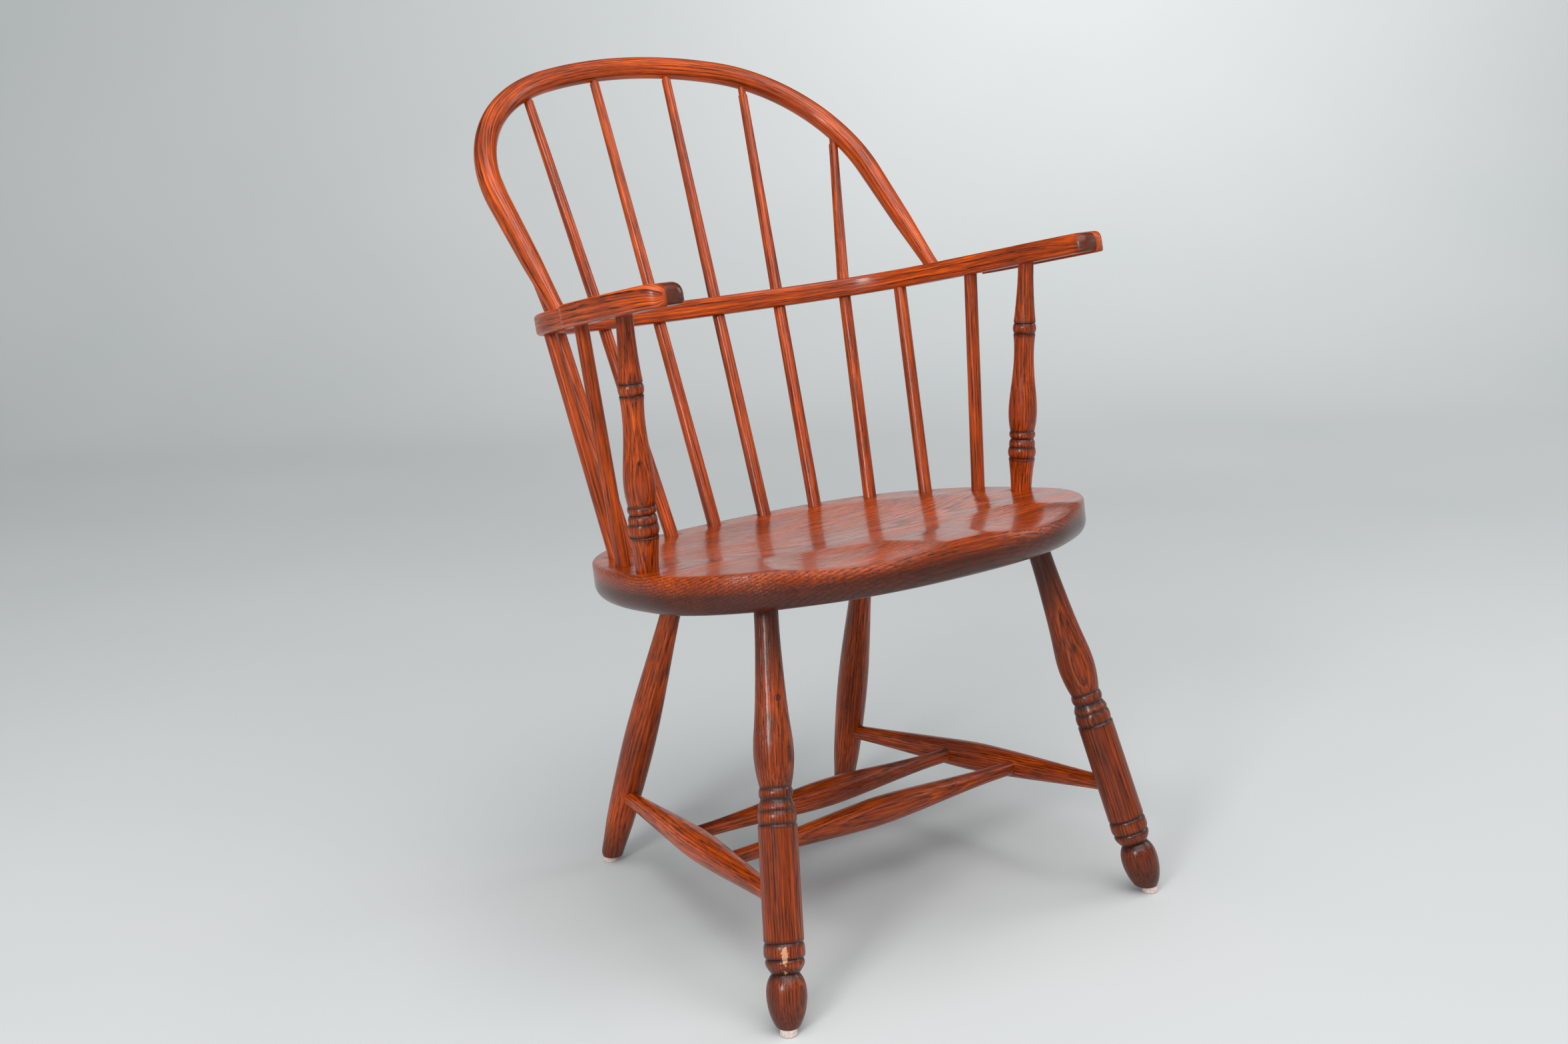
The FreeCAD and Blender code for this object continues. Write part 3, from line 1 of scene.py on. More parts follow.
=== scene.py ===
# %% [markdown]
# # A bow-back armchair, dressed for its portrait
# The joiner's half of the work is already done: every leg, spindle and rail arrives from
# the CAD model as a mesh that stands where it belongs. All of them could be modelled afresh
# here, but then two sets of sizes would have to agree. So this notebook only dresses them.
# It sets up the camera, gives each stick of wood its own grain, bends the two bent pieces
# again so that their grain follows the bend, and lights the room.

# %% Load the chair
import bpy
import bmesh
import math
from mathutils import Matrix, Vector


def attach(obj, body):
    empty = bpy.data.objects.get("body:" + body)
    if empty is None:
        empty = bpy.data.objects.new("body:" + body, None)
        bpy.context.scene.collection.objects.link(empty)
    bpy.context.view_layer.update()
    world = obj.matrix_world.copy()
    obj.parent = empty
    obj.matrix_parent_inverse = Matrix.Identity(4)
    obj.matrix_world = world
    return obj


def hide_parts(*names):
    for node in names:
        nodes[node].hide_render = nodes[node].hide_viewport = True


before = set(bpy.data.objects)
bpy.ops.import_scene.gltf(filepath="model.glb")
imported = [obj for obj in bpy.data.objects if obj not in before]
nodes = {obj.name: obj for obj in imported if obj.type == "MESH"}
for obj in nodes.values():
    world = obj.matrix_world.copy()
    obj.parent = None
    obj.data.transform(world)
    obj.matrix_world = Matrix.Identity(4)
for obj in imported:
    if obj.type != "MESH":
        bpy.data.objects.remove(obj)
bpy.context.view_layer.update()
print("pieces from the CAD model:", len(nodes))

# %% [markdown]
# ## The camera first
# The picture was taken by someone standing at the chair's right front corner, with the
# camera at about chest height, tipped down and rolled by a hair. A camera can be placed by
# eye, but then no edge of the render lies on its edge in the photograph. So the place, the
# three angles and the lens were worked out from the chair's own symmetry, and every later
# comparison can be made pixel by pixel.

# %% Camera
MM = 0.001
CAMERA_PLACE = Vector((-1212.7, -1693.6, 946.8))  # mm
CAMERA_ANGLES = (-35.288, 14.347, -2.0)  # degrees of azimuth, elevation and roll
CAMERA_LENS = 43.885  # mm
SENSOR_WIDTH = 36.0  # mm


def aim(azimuth, elevation, roll):
    """Turn three angles in degrees into a matrix of the camera's own right, up and back."""
    a, e, r = (math.radians(v) for v in (azimuth, elevation, roll))
    back = Vector((math.sin(a) * math.cos(e), -math.cos(a) * math.cos(e), math.sin(e)))
    right = (-back).cross(Vector((0, 0, 1))).normalized()
    up = right.cross(-back)
    ways = (right * math.cos(r) + up * math.sin(r), up * math.cos(r) - right * math.sin(r), back)
    return Matrix(ways).transposed().to_4x4()


camera_data = bpy.data.cameras.new("portrait camera")
camera_data.sensor_width = SENSOR_WIDTH
camera_data.lens = CAMERA_LENS
camera_data.clip_end = 60.0
camera = bpy.data.objects.new("portrait camera", camera_data)
bpy.context.scene.collection.objects.link(camera)
camera.matrix_world = Matrix.Translation(CAMERA_PLACE * MM) @ aim(*CAMERA_ANGLES)
bpy.context.scene.camera = camera
bpy.context.scene.view_settings.view_transform = "Standard"
print("camera at", [round(v, 3) for v in camera.location], "lens", camera_data.lens)

# %% [markdown]
# ## One helper for every material
# A material in Blender is a small graph. It can be drawn by hand in the shader editor, but a
# script can be read, repeated and compared. One helper adds one node, sets its values and
# wires its inputs, so each finish below reads as a list of what it is made of. Colours are
# written as a colour picker shows them, and one function turns them into what a renderer
# counts with, which is light and not paint.

# %% Node helper


def srgb(code):
    """Turn a colour written as sRGB hex into the linear values that Blender renders with."""
    parts = [int(code[i:i + 2], 16) / 255.0 for i in (1, 3, 5)]
    return [p / 12.92 if p <= 0.04045 else ((p + 0.055) / 1.055) ** 2.4 for p in parts] + [1.0]


def node(tree, kind, inputs=(), stops=(), **settings):
    """Add one node. inputs maps a socket's name or number to a value or to another node's
    socket. stops are a colour ramp's places, each with a hex colour or a grey share."""
    made = tree.nodes.new("ShaderNode" + kind)
    for name, value in settings.items():
        setattr(made, name, value)
    for key, value in dict(inputs).items():
        if isinstance(value, bpy.types.NodeSocket):
            tree.links.new(value, made.inputs[key])
        else:
            made.inputs[key].default_value = value
    for i, (place, colour) in enumerate(stops):
        band = made.color_ramp.elements
        stop = band[i] if i < 2 else band.new(place)
        stop.position = place
        stop.color = srgb(colour) if isinstance(colour, str) else (colour, colour, colour, 1.0)
    return made


def new_finish(name):
    """Start a material with an empty tree, and return both."""
    material = bpy.data.materials.new(name)
    material.use_nodes = True
    material.node_tree.nodes.clear()
    return material, material.node_tree


def wear(piece, material):
    """Give a CAD node or a new piece its finish."""
    piece.data.materials.clear()
    piece.data.materials.append(material)


print("helpers ready")

# %% [markdown]
# ## Which way the wood grows
# A real stick is cut along the grain, so its figure runs from end to end and never across.
# A texture on the scene's own axes would cut every leaning leg at a slant. So each straight
# stick gets coordinates of its own, with Z along its length. A bent stick can't be turned
# like that. It was straight before it was steamed, and its mesh keeps the place that each
# point had in that straight blank, as an attribute.

# %% Coordinates along the grain


def straight_grain(start, end, turn_about):
    """For a straight stick from start to end, in millimetres. turn_about, in radians, turns it
    about its length. What comes back adds the coordinates to a material's tree."""
    turned = (end - start).normalized().to_track_quat("Z", "Y").to_matrix()
    turned = turned @ Matrix.Rotation(turn_about, 3, "Z")

    def coordinates(tree):
        place = node(tree, "TexCoord").outputs["Object"]
        return node(tree, "Mapping", {"Vector": place, "Location": start * MM,
                                      "Rotation": turned.to_euler()},
                    vector_type="TEXTURE").outputs["Vector"]

    return coordinates


def bent_grain(tree):
    """For a bent stick: coordinates in the straight blank that it was bent from."""
    return node(tree, "Attribute", attribute_name="blank").outputs["Vector"]


print("grain ready")

# %% [markdown]
# ## Rings, pores and streaks
# The chair is ring-porous hardwood, like ash or oak: wide soft early rings full of open
# pores, and dense late rings between them. A stretched noise alone would look like any wood.
# Real rings are cylinders round the tree's heart, so a solid texture of rings, cut by the
# turned shape, gives the long pointed figure of real turnings for free. The pores lie only in
# the early part of a ring, so the two patterns are multiplied.

# %% Wood patterns
RINGS = 0.333  # to the millimetre, so a year's ring is 3 mm wide
WAVE_RINGS = 3.18  # rings a metre that the wave texture draws at scale 1
RING_STRETCH = 0.05  # rings wander twenty times as slowly along the stick as across it
PORES = 0.9  # noise cells to the millimetre, of which the darkest part is a pore 0.5 mm wide
STREAKS = 0.42  # to the millimetre, so a darker or paler streak is some 2.4 mm wide
FIBRE_STRETCH = 0.035  # a pore is some 15 mm long, and a streak some 70 mm
BLOTCHES = 0.017  # to the millimetre, so a blotch of stain is some 60 mm across
BLOTCH_STRETCH = 0.4  # and it is drawn out along the grain
STICK_HEART = (0.045, 0.02)  # metres from a stick to the middle of its tree


def per_mm(count):
    """A texture's scale for so many cells to the millimetre, on coordinates in metres."""
    return count / MM


def wood_patterns(tree, stick, seed, heart):
    """The rings, open pores, streaks and blotches of one stick. heart is the tree's middle
    beside the stick, and the seed makes every stick a different part of the tree."""
    heart_place = (heart[0] + 0.013 * math.sin(seed * 7.0), heart[1] * math.cos(seed * 5.0),
                   seed * 0.37)
    round_heart = node(tree, "Mapping", {"Vector": stick, "Location": heart_place,
                                         "Scale": (1.0, 1.0, RING_STRETCH)}).outputs["Vector"]
    rings = node(tree, "TexWave", {"Vector": round_heart, "Scale": per_mm(RINGS) / WAVE_RINGS,
                                   "Distortion": 4.5, "Detail": 3.0, "Detail Scale": 0.35},
                 wave_type="RINGS", rings_direction="Z", wave_profile="SAW").outputs["Fac"]
    fibre = node(tree, "Mapping", {"Vector": stick, "Location": (0.0, 0.0, seed),
                                   "Scale": (1.0, 1.0, FIBRE_STRETCH)}).outputs["Vector"]
    pores = node(tree, "TexNoise", {"Vector": fibre, "Scale": per_mm(PORES), "Detail": 2.0,
                                    "Roughness": 0.6}).outputs["Fac"]
    streaks = node(tree, "TexNoise", {"Vector": fibre, "Scale": per_mm(STREAKS), "Detail": 4.0,
                                      "Roughness": 0.7}).outputs["Fac"]
    flow = node(tree, "Mapping", {"Vector": stick, "Location": (0.0, 0.0, seed),
                                  "Scale": (1.0, 1.0, BLOTCH_STRETCH)}).outputs["Vector"]
    blotches = node(tree, "TexNoise", {"Vector": flow, "Scale": per_mm(BLOTCHES), "Detail": 4.0,
                                       "Roughness": 0.6}).outputs["Fac"]
    early = node(tree, "ValToRGB", {"Fac": rings},
                 [(0.0, 0.15), (0.45, 0.35), (0.85, 1.0), (1.0, 0.1)]).outputs["Color"]
    deep = node(tree, "ValToRGB", {"Fac": pores}, [(0.41, 1.0), (0.50, 0.0)]).outputs["Color"]
    open_pores = node(tree, "Math", {0: deep, 1: early}, operation="MULTIPLY").outputs[0]
    return rings, open_pores, streaks, blotches


print("rings a metre:", round(per_mm(RINGS)))

# %% [markdown]
# ## Painted shade, dark ends and wear
# Dark bands in the turned grooves are painted shade with some gathered polish, the sticks
# darken toward their ends, the seat's edge below its top gets painted shade with some dirt,
# and knocks leave pale bare wood. A painted picture could hold all that, but it would fit one
# chair only. Here each is a share between 0 and 1, worked out from the place on the chair,
# and says how much of a colour shows there.

# %% Painted shade, stains and marks


def groove_shade_and_polish_share(tree, stick, grooves, length):
    """Dark bands round a turning: painted shade in the grooves, with some gathered polish.
    grooves are places along it and half widths, in metres.
    """
    height = node(tree, "SeparateXYZ", {0: stick}).outputs["Z"]
    along = node(tree, "Math", {0: height, 1: length}, operation="DIVIDE").outputs[0]
    stops = []
    for place, half in grooves:
        stops += [(max(0.0, (place - half) / length), 0.0), (place / length, 1.0),
                  (min(1.0, (place + half) / length), 0.0)]
    bands = node(tree, "ValToRGB", {"Fac": along}, sorted(stops)).outputs["Color"]
    return node(tree, "Math", {0: bands, 1: 0.97}, operation="MULTIPLY").outputs[0]


def under_shade_and_dirt_share(tree, slope, height):
    """Painted shade with some dirt below a sloping plane, from 7 mm under it to 21 mm."""
    spot = node(tree, "TexCoord").outputs["Object"]
    above = node(tree, "VectorMath", {0: spot, 1: (0.0, slope, 1.0)},
                 operation="DOT_PRODUCT").outputs["Value"]
    depth = node(tree, "Math", {0: height, 1: above}, operation="SUBTRACT").outputs[0]
    return node(tree, "MapRange", {0: depth, 1: 0.007, 2: 0.021, 3: 0.0, 4: 0.86}).outputs[0]


def end_share(tree, stick, length, dark, run):
    """Darker toward both ends. run is how far it reaches, in metres."""
    height = node(tree, "SeparateXYZ", {0: stick}).outputs["Z"]
    first = node(tree, "MapRange", {0: height, 1: 0.3 * run, 2: run, 3: dark, 4: 0.0})
    last = node(tree, "MapRange", {0: height, 1: length - run, 2: length - 0.3 * run,
                                   3: 0.0, 4: dark})
    return node(tree, "Math", {0: first.outputs[0], 1: last.outputs[0]},
                operation="ADD").outputs[0]


def mark_share(tree, place, reach, rough):
    """One worn or chipped place. place and reach are in millimetres, and rough tears its edge."""
    spot = node(tree, "TexCoord").outputs["Object"]
    near = node(tree, "Mapping", {"Vector": spot, "Location": Vector(place) * MM,
                                  "Scale": Vector(reach) * MM}, vector_type="TEXTURE")
    far = node(tree, "VectorMath", {0: near.outputs["Vector"]}, operation="LENGTH").outputs["Value"]
    torn = node(tree, "TexNoise", {"Vector": spot, "Scale": per_mm(STREAKS), "Detail": 3.0})
    torn = node(tree, "Math", {0: torn.outputs["Fac"], 1: rough, 2: far},
                operation="MULTIPLY_ADD").outputs[0]
    edge = 0.5 * rough + 0.55
    return node(tree, "MapRange", {0: torn, 1: edge - 0.08, 2: edge + 0.08,
                                   3: 1.0, 4: 0.0}).outputs[0]


def layered(tree, body, layers):
    """Lay colours over the body, one after another. layers holds each one's share and colour."""
    for share, colour in layers:
        # sockets 6 and 7 of a colour mix are its two colours, and output 2 is the result
        mixed = node(tree, "Mix", {0: share, 6: body, 7: srgb(colour)}, data_type="RGBA")
        body = mixed.outputs[2]
    return body


print("stains ready")

# %% [markdown]
# ## Stained ash under varnish
# The wood was stained reddish brown and then varnished. Stain sinks into the pores, so they
# read as short dark dashes. Varnish fills them only partly, which leaves fine dents that
# break up the shine, and hands and cloth have polished it where people touch. A clear coat
# over a half-rough body gives both: a soft wide sheen and a small sharp one on top.

# %% Stained hardwood
RING_COLOURS = [(0.0, "#EA651D"), (0.45, "#D65417"), (0.85, "#AE4312"), (1.0, "#E2601B")]
PORE_DEPTH = 0.0004  # metres


def hardwood(name, grain, seed=0.0, tone=1.0, roughness=0.30, heart=STICK_HEART, length=1.0,
             grooves=(), ends=None, under=None, marks=(), soft=None):
    """Stained, varnished ring-porous wood. tone brightens or darkens the whole stick: mostly
    the stain, and on some sticks painted light and painted shade. The roughness is the
    varnish's. length is the stick's, in metres. grooves, ends, under and marks are what the
    functions above take; the groove bands and under lay painted shade with some polish and
    dirt in it. soft is the rounding in metres that wear gave to the creases."""
    material, tree = new_finish(name)
    stick = grain(tree)
    rings, open_pores, streaks, blotches = wood_patterns(tree, stick, seed, heart)
    body = node(tree, "ValToRGB", {"Fac": rings}, RING_COLOURS).outputs["Color"]
    dark_streaks = node(tree, "ValToRGB", {"Fac": streaks}, [(0.36, 0.85), (0.60, 0.0)])
    pale_streaks = node(tree, "ValToRGB", {"Fac": streaks}, [(0.60, 0.0), (0.78, 0.5)])
    dark_blotches = node(tree, "ValToRGB", {"Fac": blotches}, [(0.34, 0.65), (0.58, 0.0)])
    body = layered(tree, body, [(dark_streaks.outputs["Color"], "#6B2609"),
                                (pale_streaks.outputs["Color"], "#F4873F"),
                                (dark_blotches.outputs["Color"], "#6A240B"),
                                (open_pores, "#240C04")])
    body = node(tree, "HueSaturation", {"Saturation": 1.04, "Value": tone,
                                        "Color": body}).outputs["Color"]
    # painted shade in the grooves and below the seat's top, darker ends, and chips and marks
    shade_and_dirt = []
    if grooves:
        # painted shade in the turned grooves, with some gathered polish
        shade_and_dirt.append((groove_shade_and_polish_share(tree, stick, grooves, length), "#1E0A05"))
    if under:
        # painted shade on the seat's edge below its top, with some dirt
        shade_and_dirt.append((under_shade_and_dirt_share(tree, *under), "#2C1008"))
    if ends:
        # darker toward both ends of the stick
        shade_and_dirt.append((end_share(tree, stick, length, *ends), "#331409"))
    for place, reach, colour, rough in marks:
        shade_and_dirt.append((mark_share(tree, place, reach, rough), colour))
    body = layered(tree, body, shade_and_dirt)
    sunk = node(tree, "Math", {0: open_pores, 1: -1.0}, operation="MULTIPLY").outputs[0]
    relief = {"Strength": 0.5, "Distance": PORE_DEPTH, "Height": sunk}
    if soft:
        relief["Normal"] = node(tree, "Bevel", {"Radius": soft}, samples=6).outputs[0]
    sheen = node(tree, "ValToRGB", {"Fac": blotches},
                 [(0.3, roughness - 0.07), (0.7, roughness + 0.10)])
    finish = node(tree, "BsdfPrincipled", {
        "Base Color": body, "Roughness": sheen.outputs["Color"], "IOR": 1.45,
        "Specular IOR Level": 0.36, "Coat Weight": 0.14, "Coat Roughness": 0.45 * roughness,
        "Normal": node(tree, "Bump", relief).outputs[0]})
    node(tree, "OutputMaterial", {"Surface": finish.outputs[0]})
    material.diffuse_color = srgb("#A84A1C")
    return material


print("hardwood ready")

# %% [markdown]
# ## Where each stick runs
# The legs, the stretchers, the posts and the spindles are straight, so two points give the
# way of their grain. The points could be measured on the meshes, but the joiner's drawing
# already has them, as places on the sloping seat and under the sloping arm. They are given
# for the sitter's left, and the right is the mirror image.

# %% Lines of the straight sticks
SEAT_LEVEL, SEAT_PITCH = 411.51, math.radians(8.26)  # mm at the middle, and backward slope
RAIL_LEVEL, RAIL_PITCH = 665.48, math.radians(11.89)  # the same for the arm's underside
RAIL_HEIGHT, RAIL_WIDTH = 22.0, 24.0  # mm


def on_seat(x, y):
    """A point on the seat's top plane."""
    return Vector((x, y, SEAT_LEVEL - math.tan(SEAT_PITCH) * y))


def under_rail(x, y):
    """A point on the arm rail's lower plane."""
    return Vector((x, y, RAIL_LEVEL - math.tan(RAIL_PITCH) * y))


front_foot = Vector((250.6, -312.15, 0.0))
rear_foot = Vector((174.9, 154.6, 0.0))
pairs = {"front_leg": (front_foot, front_foot + Vector((-69.7, 113.0, 400.0))),
         "rear_leg": (rear_foot, rear_foot + Vector((-47.7, -126.2, 400.0))),
         "side_stretcher": (Vector((164.4, 126.8, 88.0)), Vector((229.3, -277.7, 122.0))),
         "arm_post": (on_seat(254.0, -98.0), under_rail(264.0, -96.2)),
         "spindle_inner": (on_seat(35.4, 110.1), Vector((50.2, 307.0, 908.0))),
         "spindle_middle": (on_seat(101.6, 98.5), Vector((149.0, 291.0, 893.0))),
         "spindle_outer": (on_seat(171.3, 80.4), Vector((238.0, 235.0, 842.0))),
         "spindle_rear_short": (on_seat(216.0, 29.1), under_rail(238.0, 99.5)),
         "spindle_front_short": (on_seat(244.4, -34.0), under_rail(258.0, -5.1))}
lines = {"medial_stretcher_rear": (Vector((-190.0, -46.9, 102.3)), Vector((190.0, -46.9, 102.3))),
         "medial_stretcher_front": (Vector((-205.0, -142.0, 110.6)), Vector((205.0, -142.0, 110.6))),
         "arm_pins": (Vector((-267.0, -96.0, 696.7)), Vector((267.0, -96.0, 696.7))),
         "seat": (Vector((-300.0, 0.0, 395.0)), Vector((300.0, 0.0, 395.0)))}
for side, hand in ((1, "left"), (-1, "right")):
    for kind, (start, end) in pairs.items():
        mirror = Matrix.Diagonal((side, 1, 1))
        lines[kind + "_" + hand] = mirror @ start, mirror @ end
print("straight sticks:", len(lines))

# %% [markdown]
# ## Each stick's own finish
# No two sticks of a real chair match. They were cut from different parts of the plank and
# took the stain differently: the legs and stretchers are darker than the spindles, and the
# leg in front has chips of pale wood and a knot. One material for all would be quick, but the
# eye sees the repeat at once. So a loop gives every stick its own seed, turn and tone.

# %% Finish of the straight sticks
# places of the turned grooves along a stick and their half widths, in metres
GROOVES = {
    "front_leg": [(0.0591, 0.008), (0.0739, 0.0045), (0.0895, 0.0045), (0.2048, 0.0045),
                  (0.218, 0.004), (0.229, 0.007), (0.240, 0.004)],
    "arm_post": [(0.038, 0.004), (0.051, 0.004), (0.0605, 0.005), (0.069, 0.004),
                 (0.1815, 0.004), (0.1935, 0.004)],
}
# a stick's tone is mostly its stain; front_leg_left is darkened as painted shade, and
# side_stretcher_right brightened as a painted highlight
STAIN_AND_LIGHT_TONES = {"front_leg": 0.56, "rear_leg": 0.76, "side_stretcher": 0.72, "medial_stretcher": 0.66,
         "side_stretcher_right": 0.95, "front_leg_left": 0.42,
         "arm_post": 0.82, "seat": 0.80, "spindle_inner": 0.92, "spindle_middle": 0.92,
         "spindle_outer": 0.92, "spindle_rear_short": 0.80, "spindle_front_short": 0.80}
OTHER_TONE = 0.9
# two chips and a knot on the near front leg, and a scratch on the seat: place and reach in
# millimetres, colour, and how torn the edge is
MARKS = {"front_leg_right": [((-248.2, -306.5, 80.0), (5.0, 5.0, 38.0), "#C08C6A", 1.1),
                             ((-247.4, -305.5, 68.0), (4.0, 4.0, 3.6), "#D8BCA2", 0.2),
                             ((-197.8, -240.0, 317.0), (5.5, 5.5, 8.0), "#471808", 0.8)],
         "seat": [((78.0, -118.0, 421.0), (13.0, 1.2, 8.0), "#DDB79E", 0.25)]}
# the seat is a flat-sawn plank, more polished than the sticks, and its edge below the top
# gets painted shade with some dirt
PLANK = {"heart": (0.02, 0.24), "roughness": 0.20, "soft": 0.016,
         "under": (math.tan(SEAT_PITCH), SEAT_LEVEL * MM)}
PLANK_TURN = 0.2  # radians
LEG_LENGTH, OTHER_LENGTH = 0.40, 0.45  # metres that the grooves and the ends are measured on
LEG_ENDS = (0.62, 0.066)  # how dark a leg's foot is, and how far up in metres

for i, name in enumerate(sorted(lines)):
    start, end = lines[name]
    kind = name.rsplit("_", 1)[0]
    leg = kind.endswith("leg")
    grain = straight_grain(start, end, PLANK_TURN if name == "seat" else 1.3 * i)
    wood = hardwood("stained ash, " + name.replace("_", " "), grain, seed=0.61 * i + 0.2,
                    tone=STAIN_AND_LIGHT_TONES.get(name, STAIN_AND_LIGHT_TONES.get(kind, OTHER_TONE)),
                    length=LEG_LENGTH if leg else OTHER_LENGTH, ends=LEG_ENDS if leg else None,
                    grooves=GROOVES.get(kind, ()), marks=MARKS.get(name, ()),
                    **(PLANK if name == "seat" else {}))
    wear(nodes[name], wood)
print("straight sticks finished:", len(lines))

# %% [markdown]
# ## Bending a blank
# The bow and the arm rail were sawn straight, steamed and bent round a form. The CAD model's
# own bent pieces have no memory of that, so their grain could only run straight through the
# curve. Here both are made as they were made in the shop: a straight blank first, which
# remembers its own coordinates, and then every point is carried onto the bend. The work is
# done in millimetres, and the last step turns them into metres.

# %% Bending helpers
SLICES = 240
END_SLICES = 40  # of them, packed toward each end, where the shape changes fastest


def long_edges(bm):
    """The edges that run along a blank, which lies along Z."""
    return [e for e in bm.edges if abs(e.verts[0].co.z - e.verts[1].co.z) > 100.0]


def slice_blank(bm, total, near):
    """Cut a blank across. The end slices share the distance near at each end."""
    bmesh.ops.subdivide_edges(bm, edges=long_edges(bm), cuts=SLICES - 1, use_grid_fill=True)
    for v in bm.verts:
        step = min(float(SLICES), max(0.0, v.co.z / total * SLICES))
        if step < END_SLICES:
            v.co.z = near * (step / END_SLICES) ** 1.5
        elif step > SLICES - END_SLICES:
            v.co.z = total - near * ((SLICES - step) / END_SLICES) ** 1.5
        else:
            inner = (step - END_SLICES) / (SLICES - 2 * END_SLICES)
            v.co.z = near + (total - 2.0 * near) * inner


def bend_line(parts, s):
    """Walk a distance s along straight and curved parts, each a length and a radius or None.
    Returns the place and the heading."""
    place = Vector((0.0, 0.0))
    heading = 0.0
    for length, radius in parts:
        step = min(s, length)
        if radius is None:
            place = place + Vector((math.cos(heading), math.sin(heading))) * step
        else:
            centre = place + Vector((-math.sin(heading), math.cos(heading))) * radius
            heading += step / radius
            place = centre + Vector((math.sin(heading), -math.cos(heading))) * radius
        s -= step
        if s <= 1e-6:
            break
    return place, heading


def bend(bm, parts, start, first, side, carve):
    """Carry a straight blank along Z onto the bend. start is the bend's first point, first its
    first direction, and side the direction that it bends towards. carve shapes each slice."""
    memory = bm.verts.layers.float_vector.new("blank")
    normal = first.cross(side)
    for v in bm.verts:
        v[memory] = v.co * MM
        place, heading = bend_line(parts, v.co.z)
        inward = side * math.cos(heading) - first * math.sin(heading)
        x, y = carve(v.co.z, v.co.x, v.co.y)
        v.co = (start + first * place.x + side * place.y + inward * x + normal * y) * MM


def piece_from(bm, name, material):
    """Turn a bmesh into a smooth-shaded piece that belongs to the chair's one body."""
    # the bend moved every point, so the faces' stored directions are brought up to date first
    bm.normal_update()
    bmesh.ops.recalc_face_normals(bm, faces=bm.faces)
    for face in bm.faces:
        face.smooth = True
    # a volume below zero would mean that the faces point inward
    volume = bm.calc_volume(signed=True)
    mesh = bpy.data.meshes.new(name)
    bm.to_mesh(mesh)
    bm.free()
    made = bpy.data.objects.new(name, mesh)
    bpy.context.scene.collection.objects.link(made)
    mesh.materials.append(material)
    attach(made, "root")
    print(name, "faces:", len(mesh.polygons), "volume in cm3:", round(volume / MM ** 3 / 1000.0, 2))
    return made


print("slices of a blank:", SLICES)

# %% [markdown]
# ## The bow
# The hoop of the back is a round stick, thinned toward both ends, which stand in the arm. A
# curve object with a bevel would draw it, but wouldn't know the straight blank. So a long
# cylinder is sliced, thinned and bent: straight, a tight corner, the wide top, and the same
# again downward.

# %% Bow
BOW = {"half": 253.05, "rise": 346.9, "top": 461.9, "corner": 181.0, "tenon": 14.0,
       "thick": 12.6, "side": 11.0, "end": 8.3, "behind": 57.25}
BOW_LEAN = math.radians(47.0)  # backward
corner_x = BOW["half"] - BOW["corner"]
corner_rise = math.sqrt((BOW["top"] - BOW["corner"]) ** 2 - corner_x ** 2)
corner_level = BOW["rise"] - BOW["top"] + corner_rise
corner_angle = math.atan2(corner_rise, corner_x)
bow_corner = [(BOW["corner"] * corner_angle, BOW["corner"])]
bow_end = [(BOW["tenon"] + corner_level, None)]
bow_top = [(BOW["top"] * (math.pi - 2.0 * corner_angle), BOW["top"])]
bow_parts = bow_end + bow_corner + bow_top + bow_corner + bow_end
bow_length = sum(length for length, radius in bow_parts)
bow_up = Vector((0, math.sin(BOW_LEAN), math.cos(BOW_LEAN)))
rail_top = under_rail(0.0, BOW["behind"]) + Vector((0, 0, RAIL_HEIGHT / math.cos(RAIL_PITCH)))
bow_start = Vector((BOW["half"], 0, 0)) + rail_top - bow_up * BOW["tenon"]
# radius at heights above the arm
BOW_RADII = [(-20.0, BOW["end"]), (8.0, BOW["end"]), (corner_level * 0.45, BOW["side"]),
             (corner_level, BOW["thick"]), (9999.0, BOW["thick"])]


def carve_bow(s, x, y):
    """Thin the bow's two ends."""
    near = min(s, bow_length - s) - BOW["tenon"]
    for (a, first), (b, last) in zip(BOW_RADII, BOW_RADII[1:]):
        if near <= b:
            break
    share = (first + (last - first) * (near - a) / (b - a)) / BOW["thick"]
    return x * share, y * share


bm = bmesh.new()
bmesh.ops.create_cone(bm, cap_ends=True, cap_tris=False, segments=40, radius1=BOW["thick"],
                      radius2=BOW["thick"], depth=bow_length)
bmesh.ops.translate(bm, verts=bm.verts, vec=(0, 0, bow_length / 2.0))
slice_blank(bm, bow_length, near=250.0)
bend(bm, bow_parts, bow_start, bow_up, Vector((-1, 0, 0)), carve_bow)
bow = piece_from(bm, "bent_bow", hardwood("stained ash, bow", bent_grain, seed=3.3, tone=1.0))
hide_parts("bow")
print("bow length in mm:", round(bow_length))

# %% [markdown]
# ## The bend of the arm rail
# The rail runs straight along each hand, swings in slowly beside the sitter, turns tight at
# the corner and goes almost flat across the back. Every arc has to touch the next without a
# kink, as a bent stick does. The corner could be set by eye, but one circle only touches both
# the back's arc and the side's arc from inside, and its centre is where two circles cross.

